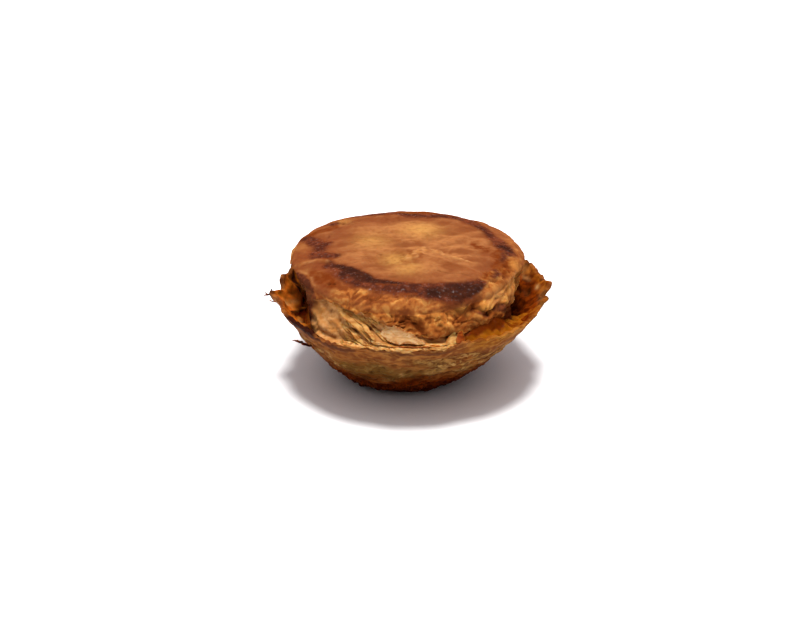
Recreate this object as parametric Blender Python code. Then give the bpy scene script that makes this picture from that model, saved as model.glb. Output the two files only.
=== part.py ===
"""A small round meat pie of puff pastry: a bowl-shaped case and the puffed lid that has risen out of it.

Lengths are in metres and +Z is up. The origin is the middle of the flat spot that the pie stands on.
Bearings are in degrees, anticlockwise seen from above: 0 is +X (right), 90 the back, 180 the left and
270 the front, where the lid's torn layers run down to the rim. Each piece is a stack of rings, one
point to a bearing, that is closed at both ends on the axis.
"""

import itertools
import math

import bpy
import numpy as np

# Driving dimensions of the case.
BASE_RADIUS = 0.0150  # the flat spot
RIM_RADIUS = 0.0376
RIM_HEIGHT = 0.0246
RIM_THICKNESS = 0.0014
RIM_CREST = 0.0003  # how far the rim's rounded top stands over its outer edge
WALL_THICKNESS = 0.0027
THINNING_DEPTH = 0.006  # the wall thins to the rim over this much of its radius
WALL_SWELL = 0.75  # below 1 the wall bellies out near the base, as in a bowl
LEAN = 0.08  # the whole pie leans to +X by this share of its height

# Driving dimensions of the lid.
LID_RADIUS = 0.0320
LID_SHIFT = -0.0020  # the lid's middle, along X from the rim's
LID_TOP = 0.0366
SHOULDER_HEIGHT = 0.0334  # where the lid is widest
SHOULDER_DROP = 0.0024  # the shoulder hangs lower round this bearing
SHOULDER_DROP_AT = 268.0
SHOULDER_DROP_WIDTH = 45.0
DOME_FULLNESS = 4.2  # 2 is a round dome, more is flatter on top with a tighter shoulder
SCORCH_RADIUS = 0.0262  # the burnt ring on top
SCORCH_WIDTH = 0.0024
SCORCH_RISE = 0.0003

# How the two meet.
SEAT_HEIGHT = 0.0205  # the filled case's level under the lid
SEAT_RADIUS = 0.0255  # the level part ends here, and the gaps beside the lid begin
GAP_SLOPE = 0.0035
CLEARANCE = 0.0003
RIM_GAP = 0.0005  # between the lid's foot and the rim's inner edge, at the front
BESIDE = 0.0006  # the lid also clears what lies this far off in radius
BESIDE_TURN = 2.5  # and this many degrees off
FILLET = 0.0010  # where a gap's bottom meets the wall
FILLET_REACH = 0.003  # the fillet grows from nothing at the rim over this much
EDGE_FADE = 0.002  # the inside's dents fade out this close to the rim

# Torn places in the rim: bearing, half-width in degrees, how far out, how far up.
RIM_MARKS = (
    (163.0, 9.0, -0.0016, 0.0004),
    (174.0, 3.4, -0.0008, 0.0020),
    (180.5, 3.6, -0.0018, -0.0010),
    (188.0, 5.0, 0.0014, 0.0004),
    (206.0, 8.0, 0.0004, -0.0006),
    (236.0, 18.0, 0.0004, -0.0020),
    (276.0, 34.0, 0.0002, -0.0012),
    (262.0, 9.0, 0.0006, 0.0002),
    (318.0, 16.0, 0.0006, -0.0008),
    (348.0, 3.6, 0.0010, 0.0004),
    (353.5, 2.8, -0.0014, -0.0018),
    (359.0, 4.0, 0.0012, 0.0014),
    (17.0, 9.0, -0.0006, 0.0010),
    (48.0, 4.0, 0.0012, 0.0014),
    (57.0, 4.0, -0.0010, -0.0016),
    (96.0, 6.0, 0.0006, -0.0012),
    (128.0, 4.0, 0.0014, 0.0012),
    (135.0, 3.5, -0.0008, -0.0010),
)

# How far down the open gaps beside the lid go below the seat.
GAP_DEPTHS = (
    (3.0, 0.0055),
    (20.0, 0.0020),
    (40.0, 0.0010),
    (75.0, 0.0035),
    (105.0, 0.0030),
    (130.0, 0.0005),
    (152.0, 0.0025),
    (172.0, 0.0060),
    (198.0, 0.0065),
    (206.0, 0.0010),
    (213.0, 0.0050),
    (220.0, 0.0055),
    (227.0, 0.0),
    (290.0, 0.0),
    (318.0, 0.0005),
    (338.0, 0.0010),
    (350.0, 0.0055),
)

# Where the lid's side lands: well inside the rim beside the gaps, and out on the rim at the front.
FOOT_RADII = (
    (10.0, 0.0287),
    (24.0, 0.0325),
    (48.0, 0.0350),
    (62.0, 0.0315),
    (92.0, 0.0305),
    (118.0, 0.0350),
    (138.0, 0.0345),
    (158.0, 0.0305),
    (172.0, 0.0275),
    (218.5, 0.0277),
    (228.5, 0.0380),
    (284.0, 0.0380),
    (300.0, 0.0340),
    (330.0, 0.0318),
    (346.0, 0.0282),
)
FLARE_BAND = 0.001  # between a foot inside the shoulder by this much and one outside it by as much
UNDERCUT = 0.6  # beside a gap the side has drawn in to the foot this far down

# The front's torn left edge, which drifts by this many degrees from shoulder to rim.
TEAR_AT = 220.0
TEAR_WIDTH = 14.0
TEAR_SLANT = 17.0

# The lower edge of the lid's brown top layer on its side: 0 at the shoulder, 1 at the foot.
CRUST_EDGE = (
    (30.0, 0.55),
    (80.0, 0.40),
    (120.0, 0.65),
    (150.0, 0.50),
    (212.0, 0.30),
    (228.0, 0.05),
    (246.0, 0.20),
    (262.0, 0.46),
    (276.0, 0.66),
    (292.0, 0.74),
    (315.0, 0.62),
    (345.0, 0.50),
)
CRUST_STEP = 0.0012
CRUST_LIP = 0.06  # the share of the side that the step is spread over

# The torn layers below that edge at the front: where they start and end, and how they climb.
LAYERS_FROM = 222.0
LAYERS_TO = 284.0
LAYERS_FADE = 6.0
LAYER_PITCH = 0.0034
LAYER_RISE = 0.0006
LAYER_CLIMB = 0.45  # height lost for each metre walked anticlockwise

# Lumps on the lid: bearing, share of the way down the side, half-widths of both, height.
LID_LUMPS = (
    (272.0, 0.80, 8.0, 0.14, 0.0012),
    (254.0, 0.86, 6.0, 0.10, 0.0008),
    (304.0, 0.55, 7.0, 0.22, 0.0014),
    (318.0, 0.50, 5.0, 0.20, 0.0013),
    (332.0, 0.20, 8.0, 0.18, 0.0010),
    (288.0, 0.40, 9.0, 0.18, 0.0008),
    (240.0, 0.62, 8.0, 0.22, 0.0006),
    (128.0, 0.55, 9.0, 0.25, 0.0012),
    (55.0, 0.60, 8.0, 0.22, 0.0012),
    (92.0, 0.45, 8.0, 0.20, 0.0007),
)
RELIEF_OUT = 0.8  # how much of the side's relief goes outwards
RELIEF_UP = 0.35  # and how much goes upwards where the side flares

# Uneven surfaces: how high the lumps are, how big, and the seed that places them.
RIM_WANDER = (0.0005, 0.007, 11)
RIM_WAVES = (0.0006, 0.006, 12)
WALL_DENTS = (0.0005, (0.006, 0.006, 0.003), 21)
WALL_CRUMB = (0.0006, 0.0028, 22)
INSIDE_DENTS = (0.0005, 0.004, 23)
LID_WANDER = (0.0007, 0.012, 31)
LID_NOTCHES = (0.0004, 0.005, 32)
SCORCH_WANDER = (0.0016, 0.009, 33)
TOP_WRINKLES = (0.0004, (0.011, 0.005, 0.006), 41)
SCORCH_BLISTERS = (0.0004, 0.004, 42)
SIDE_BULGES = (0.0007, (0.007, 0.007, 0.0022), 43)
SIDE_GRAIN = (0.0003, 0.003, 44)
LAYER_WANDER = (0.0009, 0.006, 45)

# Mesh fineness.
COLUMNS = 116
FRONT_CROWDING = 20.0  # degrees that columns are drawn towards the front, where the torn layers are
WALL_ROWS = 13
WALL_ROW_CROWDING = 1.15  # above 1 the rows crowd towards the base
INSIDE_ROWS = 7
TOP_ROWS = 12
TOP_ROW_CROWDING = 1.3
SIDE_ROWS = 14
UNDER_ROWS = 4
SHARP_ANGLE = 50.0

CASE_COLOUR = (0.40, 0.19, 0.055)
CASE_ROUGHNESS = 0.55
LID_COLOUR = (0.58, 0.27, 0.075)
LID_ROUGHNESS = 0.45


def smooth(low, high, x):
    """0 below low, 1 above high, and an eased climb between them."""
    share = np.clip((x - low) / (high - low), 0.0, 1.0)
    return share * share * (3.0 - 2.0 * share)


def bump(bearing, centre, width):
    """A rounded peak of height 1 at a bearing."""
    away = (bearing - centre + 180.0) % 360.0 - 180.0
    return np.exp(-((away / width) ** 2))


def around(bearing, anchors):
    """A value round the pie, eased from one (bearing, value) anchor to the next."""
    at = np.array([a[0] for a in anchors])
    values = np.array([a[1] for a in anchors])
    along = (bearing - at[0]) % 360.0 + at[0]
    i = np.searchsorted(at, along, side="right") - 1
    following = (i + 1) % len(at)
    span = (at[following] - at[i]) % 360.0
    return values[i] + (values[following] - values[i]) * smooth(0.0, 1.0, (along - at[i]) / span)


def uneven(points, kind):
    """Smooth gradient noise at points, of a kind that gives its height, the size of its lumps and its seed."""
    height, size, seed = kind
    rng = np.random.default_rng(seed)
    order = rng.permutation(256)
    slopes = rng.normal(size=(256, 3))
    slopes /= np.linalg.norm(slopes, axis=1)[:, None]
    scaled = points / np.asarray(size, float)
    cell = np.floor(scaled).astype(int)
    inside = scaled - cell
    fade = inside**3 * (inside * (inside * 6.0 - 15.0) + 10.0)
    total = np.zeros(points.shape[:-1])
    for corner in itertools.product((0, 1), repeat=3):
        x, y, z = np.moveaxis(cell + np.array(corner), -1, 0)
        slope = slopes[order[(order[(order[x & 255] + y) & 255] + z) & 255]]
        weight = np.prod(np.where(corner, fade, 1.0 - fade), axis=-1)
        total += weight * (slope * (inside - np.array(corner))).sum(axis=-1)
    return 1.6 * height * total


def polar(bearing, radius, height):
    """Points from bearings, radii and heights."""
    angle = np.radians(bearing)
    flat = np.broadcast_arrays(radius * np.cos(angle), radius * np.sin(angle), height)
    return np.stack(flat, axis=-1)


def rim(bearing):
    """The rim's outer radius and its height, with its torn places."""
    edge = polar(bearing, RIM_RADIUS, RIM_HEIGHT)
    radius = RIM_RADIUS + uneven(edge, RIM_WANDER)
    height = RIM_HEIGHT + uneven(edge, RIM_WAVES)
    for centre, width, out, up in RIM_MARKS:
        mark = bump(bearing, centre, width)
        radius = radius + out * mark
        height = height + up * mark
    return radius, height


def wall_radius(share, rim_radius):
    """The case's outer radius at a share of the rim's height."""
    return BASE_RADIUS + (rim_radius - BASE_RADIUS) * share**WALL_SWELL


def inside_height(bearing, radius):
    """The case's upper surface: the level seat, the gaps beside the lid, and the wall's inner face."""
    rim_radius, rim_height = rim(bearing)
    inset = rim_radius - RIM_THICKNESS - radius
    thickness = RIM_THICKNESS + (WALL_THICKNESS - RIM_THICKNESS) * smooth(0.0, THINNING_DEPTH, inset)
    share = (radius + thickness - BASE_RADIUS) / (rim_radius - BASE_RADIUS)
    wall = rim_height * np.maximum(share, 0.0) ** (1.0 / WALL_SWELL)
    drop = smooth(SEAT_RADIUS, SEAT_RADIUS + GAP_SLOPE, radius)
    floor = SEAT_HEIGHT - around(bearing, GAP_DEPTHS) * drop
    fillet = FILLET * smooth(0.0, FILLET_REACH, inset)
    surface = 0.5 * (wall + floor + np.sqrt((wall - floor) ** 2 + fillet**2))
    dents = uneven(polar(bearing, radius, surface), INSIDE_DENTS)
    return surface + dents * smooth(0.0, EDGE_FADE, inset) * drop


def wall_row(bearing, share):
    """A ring of the case's outside, from 0 at the flat spot to 1 at the rim."""
    rim_radius, rim_height = rim(bearing)
    radius = wall_radius(share, rim_radius)
    ring = polar(bearing, radius, rim_height * share)
    shown = smooth(0.0, 0.12, share) * (1.0 - smooth(0.9, 1.0, share))
    crumbly = 1.0 - smooth(0.15, 0.5, share)
    dents = uneven(ring, WALL_DENTS) + uneven(ring, WALL_CRUMB) * crumbly
    return polar(bearing, radius + dents * shown, rim_height * share)


def case_rows(bearing):
    """Rings from the flat spot up the wall, over the rim and down to the seat."""
    rim_radius, rim_height = rim(bearing)
    rows = [polar(bearing, 0.5 * BASE_RADIUS, 0.0), polar(bearing, BASE_RADIUS, 0.0)]
    for step in range(1, WALL_ROWS + 1):
        rows.append(wall_row(bearing, (step / WALL_ROWS) ** WALL_ROW_CROWDING))
    rows.append(polar(bearing, rim_radius - 0.5 * RIM_THICKNESS, rim_height + RIM_CREST))
    inner = rim_radius - RIM_THICKNESS
    for step in range(INSIDE_ROWS + 1):
        radius = inner + (SEAT_RADIUS - inner) * step / INSIDE_ROWS
        rows.append(polar(bearing, radius, inside_height(bearing, radius)))
    rows.append(polar(bearing, 0.5 * SEAT_RADIUS, SEAT_HEIGHT))
    return rows


def lid_radius(bearing):
    """The lid's widest radius, a little uneven."""
    edge = polar(bearing, LID_RADIUS, SHOULDER_HEIGHT)
    wander = uneven(edge, LID_WANDER) + uneven(edge, LID_NOTCHES)
    return LID_RADIUS + LID_SHIFT * np.cos(np.radians(bearing)) + wander


def shoulder_height(bearing):
    """The height at which the lid is widest."""
    return SHOULDER_HEIGHT - SHOULDER_DROP * bump(bearing, SHOULDER_DROP_AT, SHOULDER_DROP_WIDTH)


def scorch(bearing, radius):
    """1 on the burnt ring and 0 off it."""
    middle = SCORCH_RADIUS + uneven(polar(bearing, SCORCH_RADIUS, 0.0), SCORCH_WANDER)
    return np.exp(-(((radius - middle) / SCORCH_WIDTH) ** 2))


def top_row(bearing, tilt):
    """A ring of the domed top: tilt is 0 at the middle and 90 degrees at the shoulder."""
    angle = math.radians(tilt)
    radius = lid_radius(bearing) * math.sin(angle) ** (2.0 / DOME_FULLNESS)
    shoulder = shoulder_height(bearing)
    ring = polar(bearing, radius, shoulder + (LID_TOP - shoulder) * math.cos(angle))
    blisters = (SCORCH_RISE + uneven(ring, SCORCH_BLISTERS)) * scorch(bearing, radius)
    ring[..., 2] += (uneven(ring, TOP_WRINKLES) + blisters) * math.cos(angle)
    return ring


def under_height(bearing, radius):
    """The height of the lid's underside, clear of the case on its slopes too."""
    turns, steps = (-BESIDE_TURN, 0.0, BESIDE_TURN), (-BESIDE, 0.0, BESIDE)
    near = [inside_height(bearing + t, radius + s) for t in turns for s in steps]
    return np.max(near, axis=0) + CLEARANCE


def foot(bearing):
    """The radius and height at which the lid's side meets the case."""
    rim_radius, _ = rim(bearing)
    radius = np.minimum(around(bearing, FOOT_RADII), rim_radius - RIM_THICKNESS - RIM_GAP)
    return radius, under_height(bearing, radius)


def torn_layers(ring, bearing, share):
    """1 in a ring of the side where the front's torn layers show."""
    edge = around(bearing, CRUST_EDGE)
    below = smooth(edge - CRUST_LIP, edge + CRUST_LIP, share)
    torn = smooth(LAYERS_FROM - LAYERS_FADE, LAYERS_FROM, bearing)
    torn = torn * (1.0 - smooth(LAYERS_TO, LAYERS_TO + LAYERS_FADE, bearing))
    fallen = LAYER_CLIMB * LID_RADIUS * np.radians(bearing) + uneven(ring, LAYER_WANDER)
    ridges = np.sin(2.0 * math.pi * (ring[..., 2] + fallen) / LAYER_PITCH)
    return LAYER_RISE * ridges * torn * below - CRUST_STEP * below


def side_row(bearing, share):
    """A ring of the lid's side, from 0 at the shoulder to 1 at the foot."""
    shoulder = lid_radius(bearing)
    slanted = bearing + TEAR_SLANT * (1.0 - share) * bump(bearing, TEAR_AT, TEAR_WIDTH)
    reach = foot(slanted)[0] - shoulder
    flared = smooth(-FLARE_BAND, FLARE_BAND, reach)
    drift = flared * share + (1.0 - flared) * smooth(0.0, UNDERCUT, share)
    radius = shoulder + reach * drift
    top = shoulder_height(bearing)
    height = top + (foot(bearing)[1] - top) * share
    ring = polar(bearing, radius, height)
    relief = uneven(ring, SIDE_BULGES) + uneven(ring, SIDE_GRAIN) + torn_layers(ring, bearing, share)
    for centre, down, width, depth, rise in LID_LUMPS:
        relief = relief + rise * bump(bearing, centre, width) * np.exp(-(((share - down) / depth) ** 2))
    relief = relief * smooth(0.0, 0.1, share) * (1.0 - smooth(0.86, 1.0, share))
    return polar(bearing, radius + RELIEF_OUT * relief, height + RELIEF_UP * relief * flared)


def lid_rows(bearing):
    """Rings from the lid's underside out to its foot, up its side and over its top."""
    foot_radius, foot_height = foot(bearing)
    rows = [polar(bearing, 0.5 * SEAT_RADIUS, SEAT_HEIGHT + CLEARANCE)]
    for step in range(UNDER_ROWS):
        radius = SEAT_RADIUS + (foot_radius - SEAT_RADIUS) * step / UNDER_ROWS
        rows.append(polar(bearing, radius, under_height(bearing, radius)))
    rows.append(polar(bearing, foot_radius, foot_height))
    rows += [side_row(bearing, step / SIDE_ROWS) for step in range(SIDE_ROWS - 1, 0, -1)]
    rows += [top_row(bearing, 90.0 * (step / TOP_ROWS) ** TOP_ROW_CROWDING) for step in range(TOP_ROWS, 0, -1)]
    return rows


def skin(name, rows, low, high):
    """A closed solid from rings of points and the heights of the two points on the axis that close it."""
    rings = np.array(rows)
    count, columns = rings.shape[:2]
    points = np.vstack([rings.reshape(-1, 3), [(0.0, 0.0, low)], [(0.0, 0.0, high)]])
    points[:, 0] += LEAN * points[:, 2]
    bottom, top = count * columns, count * columns + 1
    faces = []
    for c in range(columns):
        d = (c + 1) % columns
        faces.append((bottom, d, c))
        faces.append((top, (count - 1) * columns + c, (count - 1) * columns + d))
        for near in range(0, (count - 1) * columns, columns):
            far = near + columns
            faces.append((near + c, near + d, far + d, far + c))
    mesh = bpy.data.meshes.new(name)
    mesh.from_pydata(points.tolist(), [], faces)
    mesh.shade_smooth()
    mesh.set_sharp_from_angle(angle=math.radians(SHARP_ANGLE))
    piece = bpy.data.objects.new(name, mesh)
    bpy.context.scene.collection.objects.link(piece)
    return piece


def pastry(name, colour, roughness):
    """Baked pastry of one colour."""
    material = bpy.data.materials.new(name)
    material.use_nodes = True
    shader = material.node_tree.nodes["Principled BSDF"]
    shader.inputs["Base Color"].default_value = (*colour, 1.0)
    shader.inputs["Roughness"].default_value = roughness
    shader.inputs["Metallic"].default_value = 0.0
    return material


def make_case(bearing):
    """The bowl of pastry, filled up to the seat."""
    piece = skin("pastry_case", case_rows(bearing), 0.0, SEAT_HEIGHT)
    piece.data.materials.append(pastry("case_pastry", CASE_COLOUR, CASE_ROUGHNESS))
    return piece


def make_lid(bearing):
    """The puffed lid, with its burnt ring and its torn side."""
    middle = np.array([0.0, 0.0, LID_TOP])
    high = LID_TOP + float(uneven(middle, TOP_WRINKLES))
    piece = skin("pastry_lid", lid_rows(bearing), SEAT_HEIGHT + CLEARANCE, high)
    piece.data.materials.append(pastry("lid_pastry", LID_COLOUR, LID_ROUGHNESS))
    return piece


def main():
    for old in list(bpy.data.objects):
        bpy.data.objects.remove(old)
    even = np.arange(COLUMNS) * 360.0 / COLUMNS
    bearing = even - FRONT_CROWDING * np.cos(np.radians(even))
    make_case(bearing)
    make_lid(bearing)


main()
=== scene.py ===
"""The looks of a small round meat pie of puff pastry: its blistered case and its glazed, burnt and torn lid.

Lengths are in metres, or in millimetres where a name or a comment says so. +Z is up, and the origin is
the middle of the flat spot that the pie stands on. Bearings are in degrees, anticlockwise seen from
above: 0 is +X (right), 90 the back, 180 the left and 270 the front. The forms of the case and the lid
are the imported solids' own, made finer, with the relief of the crust, the layers and the burns on top.
"""

import itertools
import math

import bmesh
import bpy
import numpy as np
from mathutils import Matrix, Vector


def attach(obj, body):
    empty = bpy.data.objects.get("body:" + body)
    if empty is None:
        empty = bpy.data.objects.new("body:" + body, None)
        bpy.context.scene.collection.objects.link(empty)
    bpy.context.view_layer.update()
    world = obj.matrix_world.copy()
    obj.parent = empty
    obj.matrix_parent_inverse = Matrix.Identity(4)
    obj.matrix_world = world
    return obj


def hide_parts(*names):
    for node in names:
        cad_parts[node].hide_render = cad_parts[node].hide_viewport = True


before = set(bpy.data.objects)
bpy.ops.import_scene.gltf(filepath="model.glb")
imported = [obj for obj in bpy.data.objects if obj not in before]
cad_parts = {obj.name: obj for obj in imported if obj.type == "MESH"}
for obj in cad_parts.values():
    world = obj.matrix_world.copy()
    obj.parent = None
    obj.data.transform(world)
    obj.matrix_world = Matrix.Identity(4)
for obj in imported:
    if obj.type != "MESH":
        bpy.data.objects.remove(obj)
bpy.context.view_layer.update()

MM = 0.001

# The case, as in the solids.
BASE_RADIUS = 0.0150
RIM_RADIUS = 0.0376
RIM_HEIGHT = 0.0246
RIM_THICKNESS = 0.0014
RIM_CREST = 0.0003
WALL_THICKNESS = 0.0027
THINNING_DEPTH = 0.006
WALL_SWELL = 0.75
LEAN = 0.08  # the whole pie leans to +X by this share of its height

# The lid, as in the solids.
LID_RADIUS = 0.0320
LID_SHIFT = -0.0020
LID_TOP = 0.0366
SHOULDER_HEIGHT = 0.0334
SHOULDER_DROP = 0.0024
SHOULDER_DROP_AT = 268.0
SHOULDER_DROP_WIDTH = 45.0
DOME_FULLNESS = 4.2

# How the two meet, as in the solids.
SEAT_HEIGHT = 0.0205
SEAT_RADIUS = 0.0255
GAP_SLOPE = 0.0035
CLEARANCE = 0.0003
RIM_GAP = 0.0005
FILLET = 0.0010
FILLET_REACH = 0.003
EDGE_FADE = 0.002
FLARE_BAND = 0.001
UNDERCUT = 0.6
TEAR_AT = 220.0
TEAR_WIDTH = 14.0
TEAR_SLANT = 17.0

# Torn places in the rim: bearing, half-width in degrees, how far out, how far up.
RIM_MARKS = (
    (163.0, 9.0, -0.0016, 0.0004),
    (174.0, 3.4, -0.0008, 0.0020),
    (180.5, 3.6, -0.0018, -0.0010),
    (188.0, 5.0, 0.0014, 0.0004),
    (206.0, 8.0, 0.0004, -0.0006),
    (236.0, 18.0, 0.0004, -0.0020),
    (276.0, 34.0, 0.0002, -0.0012),
    (262.0, 9.0, 0.0006, 0.0002),
    (318.0, 16.0, 0.0006, -0.0008),
    (348.0, 3.6, 0.0010, 0.0004),
    (353.5, 2.8, -0.0014, -0.0018),
    (359.0, 4.0, 0.0012, 0.0014),
    (17.0, 9.0, -0.0006, 0.0010),
    (48.0, 4.0, 0.0012, 0.0014),
    (57.0, 4.0, -0.0010, -0.0016),
    (96.0, 6.0, 0.0006, -0.0012),
    (128.0, 4.0, 0.0014, 0.0012),
    (135.0, 3.5, -0.0008, -0.0010),
)
GAP_DEPTHS = (
    (3.0, 0.0055),
    (20.0, 0.0020),
    (40.0, 0.0010),
    (75.0, 0.0035),
    (105.0, 0.0030),
    (130.0, 0.0005),
    (152.0, 0.0025),
    (172.0, 0.0060),
    (198.0, 0.0065),
    (206.0, 0.0010),
    (213.0, 0.0050),
    (220.0, 0.0055),
    (227.0, 0.0),
    (290.0, 0.0),
    (318.0, 0.0005),
    (338.0, 0.0010),
    (350.0, 0.0055),
)
FOOT_RADII = (
    (10.0, 0.0287),
    (24.0, 0.0325),
    (48.0, 0.0350),
    (62.0, 0.0315),
    (92.0, 0.0305),
    (118.0, 0.0350),
    (138.0, 0.0345),
    (158.0, 0.0305),
    (172.0, 0.0275),
    (218.5, 0.0277),
    (228.5, 0.0380),
    (284.0, 0.0380),
    (300.0, 0.0340),
    (330.0, 0.0318),
    (346.0, 0.0282),
)

# The lower edge of the lid's brown top layer on its side: 0 at the shoulder, 1 at the foot.
CRUST_EDGE = (
    (30.0, 0.55),
    (80.0, 0.40),
    (120.0, 0.65),
    (150.0, 0.50),
    (212.0, 0.30),
    (228.0, 0.05),
    (246.0, 0.12),
    (254.0, 0.16),
    (262.0, 0.46),
    (276.0, 0.70),
    (292.0, 0.74),
    (315.0, 0.62),
    (345.0, 0.50),
)
CRUST_STEP = 0.0012
CRUST_LIP = 0.03
LAYERS_FROM = 222.0
LAYERS_TO = 284.0
LAYERS_FADE = 6.0
LAYER_PITCH = 0.0034
LAYER_RISE = 0.00028
LAYER_CLIMB = 0.45

# Lumps on the lid: bearing, share of the way down the side, half-widths of both, height.
LID_LUMPS = (
    (272.0, 0.80, 8.0, 0.14, 0.0012),
    (254.0, 0.86, 6.0, 0.10, 0.0008),
    (304.0, 0.55, 7.0, 0.22, 0.0014),
    (318.0, 0.50, 5.0, 0.20, 0.0013),
    (332.0, 0.20, 8.0, 0.18, 0.0010),
    (288.0, 0.40, 9.0, 0.18, 0.0008),
    (240.0, 0.62, 8.0, 0.22, 0.0006),
    (128.0, 0.55, 9.0, 0.25, 0.0012),
    (55.0, 0.60, 8.0, 0.22, 0.0012),
    (92.0, 0.45, 8.0, 0.20, 0.0007),
)
RELIEF_OUT = 0.8
RELIEF_UP = 0.35

# Uneven surfaces, as in the solids: how high the lumps are, how big, and the seed that places them.
RIM_WANDER = (0.0005, 0.007, 11)
RIM_WAVES = (0.0006, 0.006, 12)
WALL_DENTS = (0.0005, (0.006, 0.006, 0.003), 21)
WALL_CRUMB = (0.0006, 0.0028, 22)
INSIDE_DENTS = (0.0005, 0.004, 23)
LID_WANDER = (0.0007, 0.012, 31)
LID_NOTCHES = (0.0004, 0.005, 32)
TOP_WRINKLES = (0.0004, (0.011, 0.005, 0.006), 41)
SIDE_BULGES = (0.0007, (0.007, 0.007, 0.0022), 43)
SIDE_GRAIN = (0.0003, 0.003, 44)
LAYER_WANDER = (0.0009, 0.006, 45)

# Finer relief, which only the looks have.
RIM_TEETH = (0.0006, 0.0013, 13)
TOP_FOLDS = (0.00028, (0.0060, 0.0034, 0.004), 51)
TOP_SWELL = (0.00024, (0.0110, 0.0060, 0.006), 57)
TOP_CREASES = (1.0, (0.0080, 0.0030, 0.004), 52)
TOP_GRAIN = (0.00009, 0.0012, 53)
WARP = (0.0012, 0.006, 54)
TOP_SLANT = 0.12  # the top's folds climb to the right by this slope

# The burnt ring at the front: bearing, and how far from the middle it starts and ends, in millimetres.
BURNT_RING = (
    (200.0, 25.0, 24.0),
    (206.0, 24.0, 25.0),
    (212.0, 22.4, 26.4),
    (221.0, 21.9, 27.2),
    (234.0, 21.8, 27.8),
    (247.0, 22.8, 27.8),
    (257.0, 22.8, 27.9),
    (267.0, 23.2, 28.4),
    (279.0, 23.0, 29.4),
    (288.0, 24.0, 30.4),
    (296.0, 24.8, 30.6),
    (304.0, 25.5, 30.2),
    (310.0, 26.3, 28.6),
    (315.0, 28.5, 27.5),
    (340.0, 30.5, 28.0),
)

# Strokes on the top, seen from above: points of x, y and half-width, in millimetres.
BURNT_STROKES = (
    ((-29.4, 9.0, 1.3), (-27.6, 5.6, 1.8), (-25.8, 2.8, 1.9), (-24.0, 3.3, 1.3)),
    ((-24.7, 2.5, 1.4), (-26.1, 0.5, 1.6), (-26.3, -4.7, 1.6)),
    ((-26.3, -4.7, 1.6), (-24.2, -5.0, 1.6), (-21.8, -5.7, 1.3)),
    ((-23.1, -11.8, 1.0), (-20.1, -12.8, 1.4)),
    ((16.9, 16.7, 0.8), (19.8, 12.5, 1.0), (22.0, 8.2, 1.3), (24.0, 2.4, 1.7), (25.8, -3.2, 1.5)),
    ((-9.7, 25.8, 0.9), (-8.6, 26.0, 0.9)),
    ((-23.0, 18.6, 0.9), (-22.2, 18.9, 0.8)),
    ((-2.5, 24.0, 1.2), (1.8, 24.2, 1.3), (7.5, 23.8, 1.2), (13.2, 22.6, 1.3), (17.1, 18.1, 1.2),
     (19.1, 15.0, 1.0), (20.8, 9.7, 0.8)),
    ((-17.0, 24.6, 0.5), (-9.0, 26.6, 0.6), (-2.5, 25.4, 0.8)),
    ((21.4, -13.2, 0.2), (22.4, -15.0, 0.5), (21.2, -17.6, 0.4)),
    ((23.8, -3.6, 0.2), (24.4, -6.0, 0.5), (23.6, -8.0, 0.2)),
)
TOASTED_STROKES = (
    ((19.7, -16.5, 1.3), (20.7, -18.5, 1.4), (22.6, -19.0, 0.9)),
    ((24.0, 0.0, 1.2), (22.7, -3.6, 1.5), (22.9, -9.3, 1.6), (22.3, -12.8, 1.0)),
    ((16.4, 2.2, 0.6), (17.8, 0.4, 1.1), (19.4, -1.4, 1.1)),
    ((24.6, -7.0, 0.8), (24.9, -11.0, 0.9), (23.8, -14.0, 0.6)),
    ((-23.0, -6.7, 0.8), (-23.3, -8.9, 0.8), (-23.4, -12.2, 0.8)),
    ((-30.0, 10.0, 1.4), (-27.6, 12.8, 1.5), (-24.9, 14.0, 1.3), (-23.0, 16.0, 1.0)),
    ((-27.0, -14.0, 1.0), (-24.5, -17.0, 2.0), (-21.5, -21.0, 1.5)),
    ((-11.0, 26.0, 1.5), (2.0, 27.5, 1.6), (14.0, 24.0, 1.6)),
)
# The blackest places of the ring.
BURNT_CORE = (
    ((4.0, -26.8, 1.0), (10.5, -25.8, 2.0), (15.5, -24.0, 2.0), (18.5, -22.6, 1.0)),
    ((-20.0, -12.5, 1.2), (-17.5, -16.0, 2.2), (-12.0, -20.0, 1.9), (-5.0, -23.6, 0.8)),
    ((24.0, 2.5, 0.6), (25.2, -0.5, 1.0), (26.2, -2.6, 0.6)),
)
LIGHT_STREAKS = (((-4.0, -27.7, 0.4), (0.4, -27.8, 0.4)), ((-10.0, -23.6, 0.3), (-5.0, -24.2, 0.3)))
PALE_CREASE = ((-1.5, -8.5, 0.9), (0.2, -5.4, 1.1), (2.6, -2.3, 1.2), (5.8, -3.7, 1.0), (10.0, -7.9, 0.4), (14.8, -10.9, 0.2))
# A wrinkle on the top, sunk a little and darkened with painted shade.
SHADED_WRINKLE = ((6.0, -16.0, 0.1), (9.0, -17.2, 0.1), (12.5, -17.7, 0.1))
LEFT_FOLD = ((-32.5, -7.5, 0.4), (-29.5, -7.6, 0.7), (-26.5, -8.2, 0.8), (-23.5, -9.4, 0.5))

# Yellower patches on the top: x, y, radius in millimetres, and how yellow.
PALE_PATCHES = ((-4.5, -8.5, 3.5, 1.0), (2.0, 12.0, 5.0, 0.6), (-12.0, 4.0, 5.0, 0.4), (27.5, -8.0, 2.4, 0.35),
                (-19.2, 19.4, 2.2, 1.0), (-2.0, -14.5, 4.0, 0.6), (-28.5, -13.0, 2.0, 0.5))

# Pits on the top: x, y, radius and depth, in millimetres.
TOP_PITS = ((-9.0, -5.9, 0.5, 0.3), (-22.3, -20.8, 0.5, 0.5), (-21.2, -21.2, 0.5, 0.5), (-20.0, 18.8, 0.6, 0.5))

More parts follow.
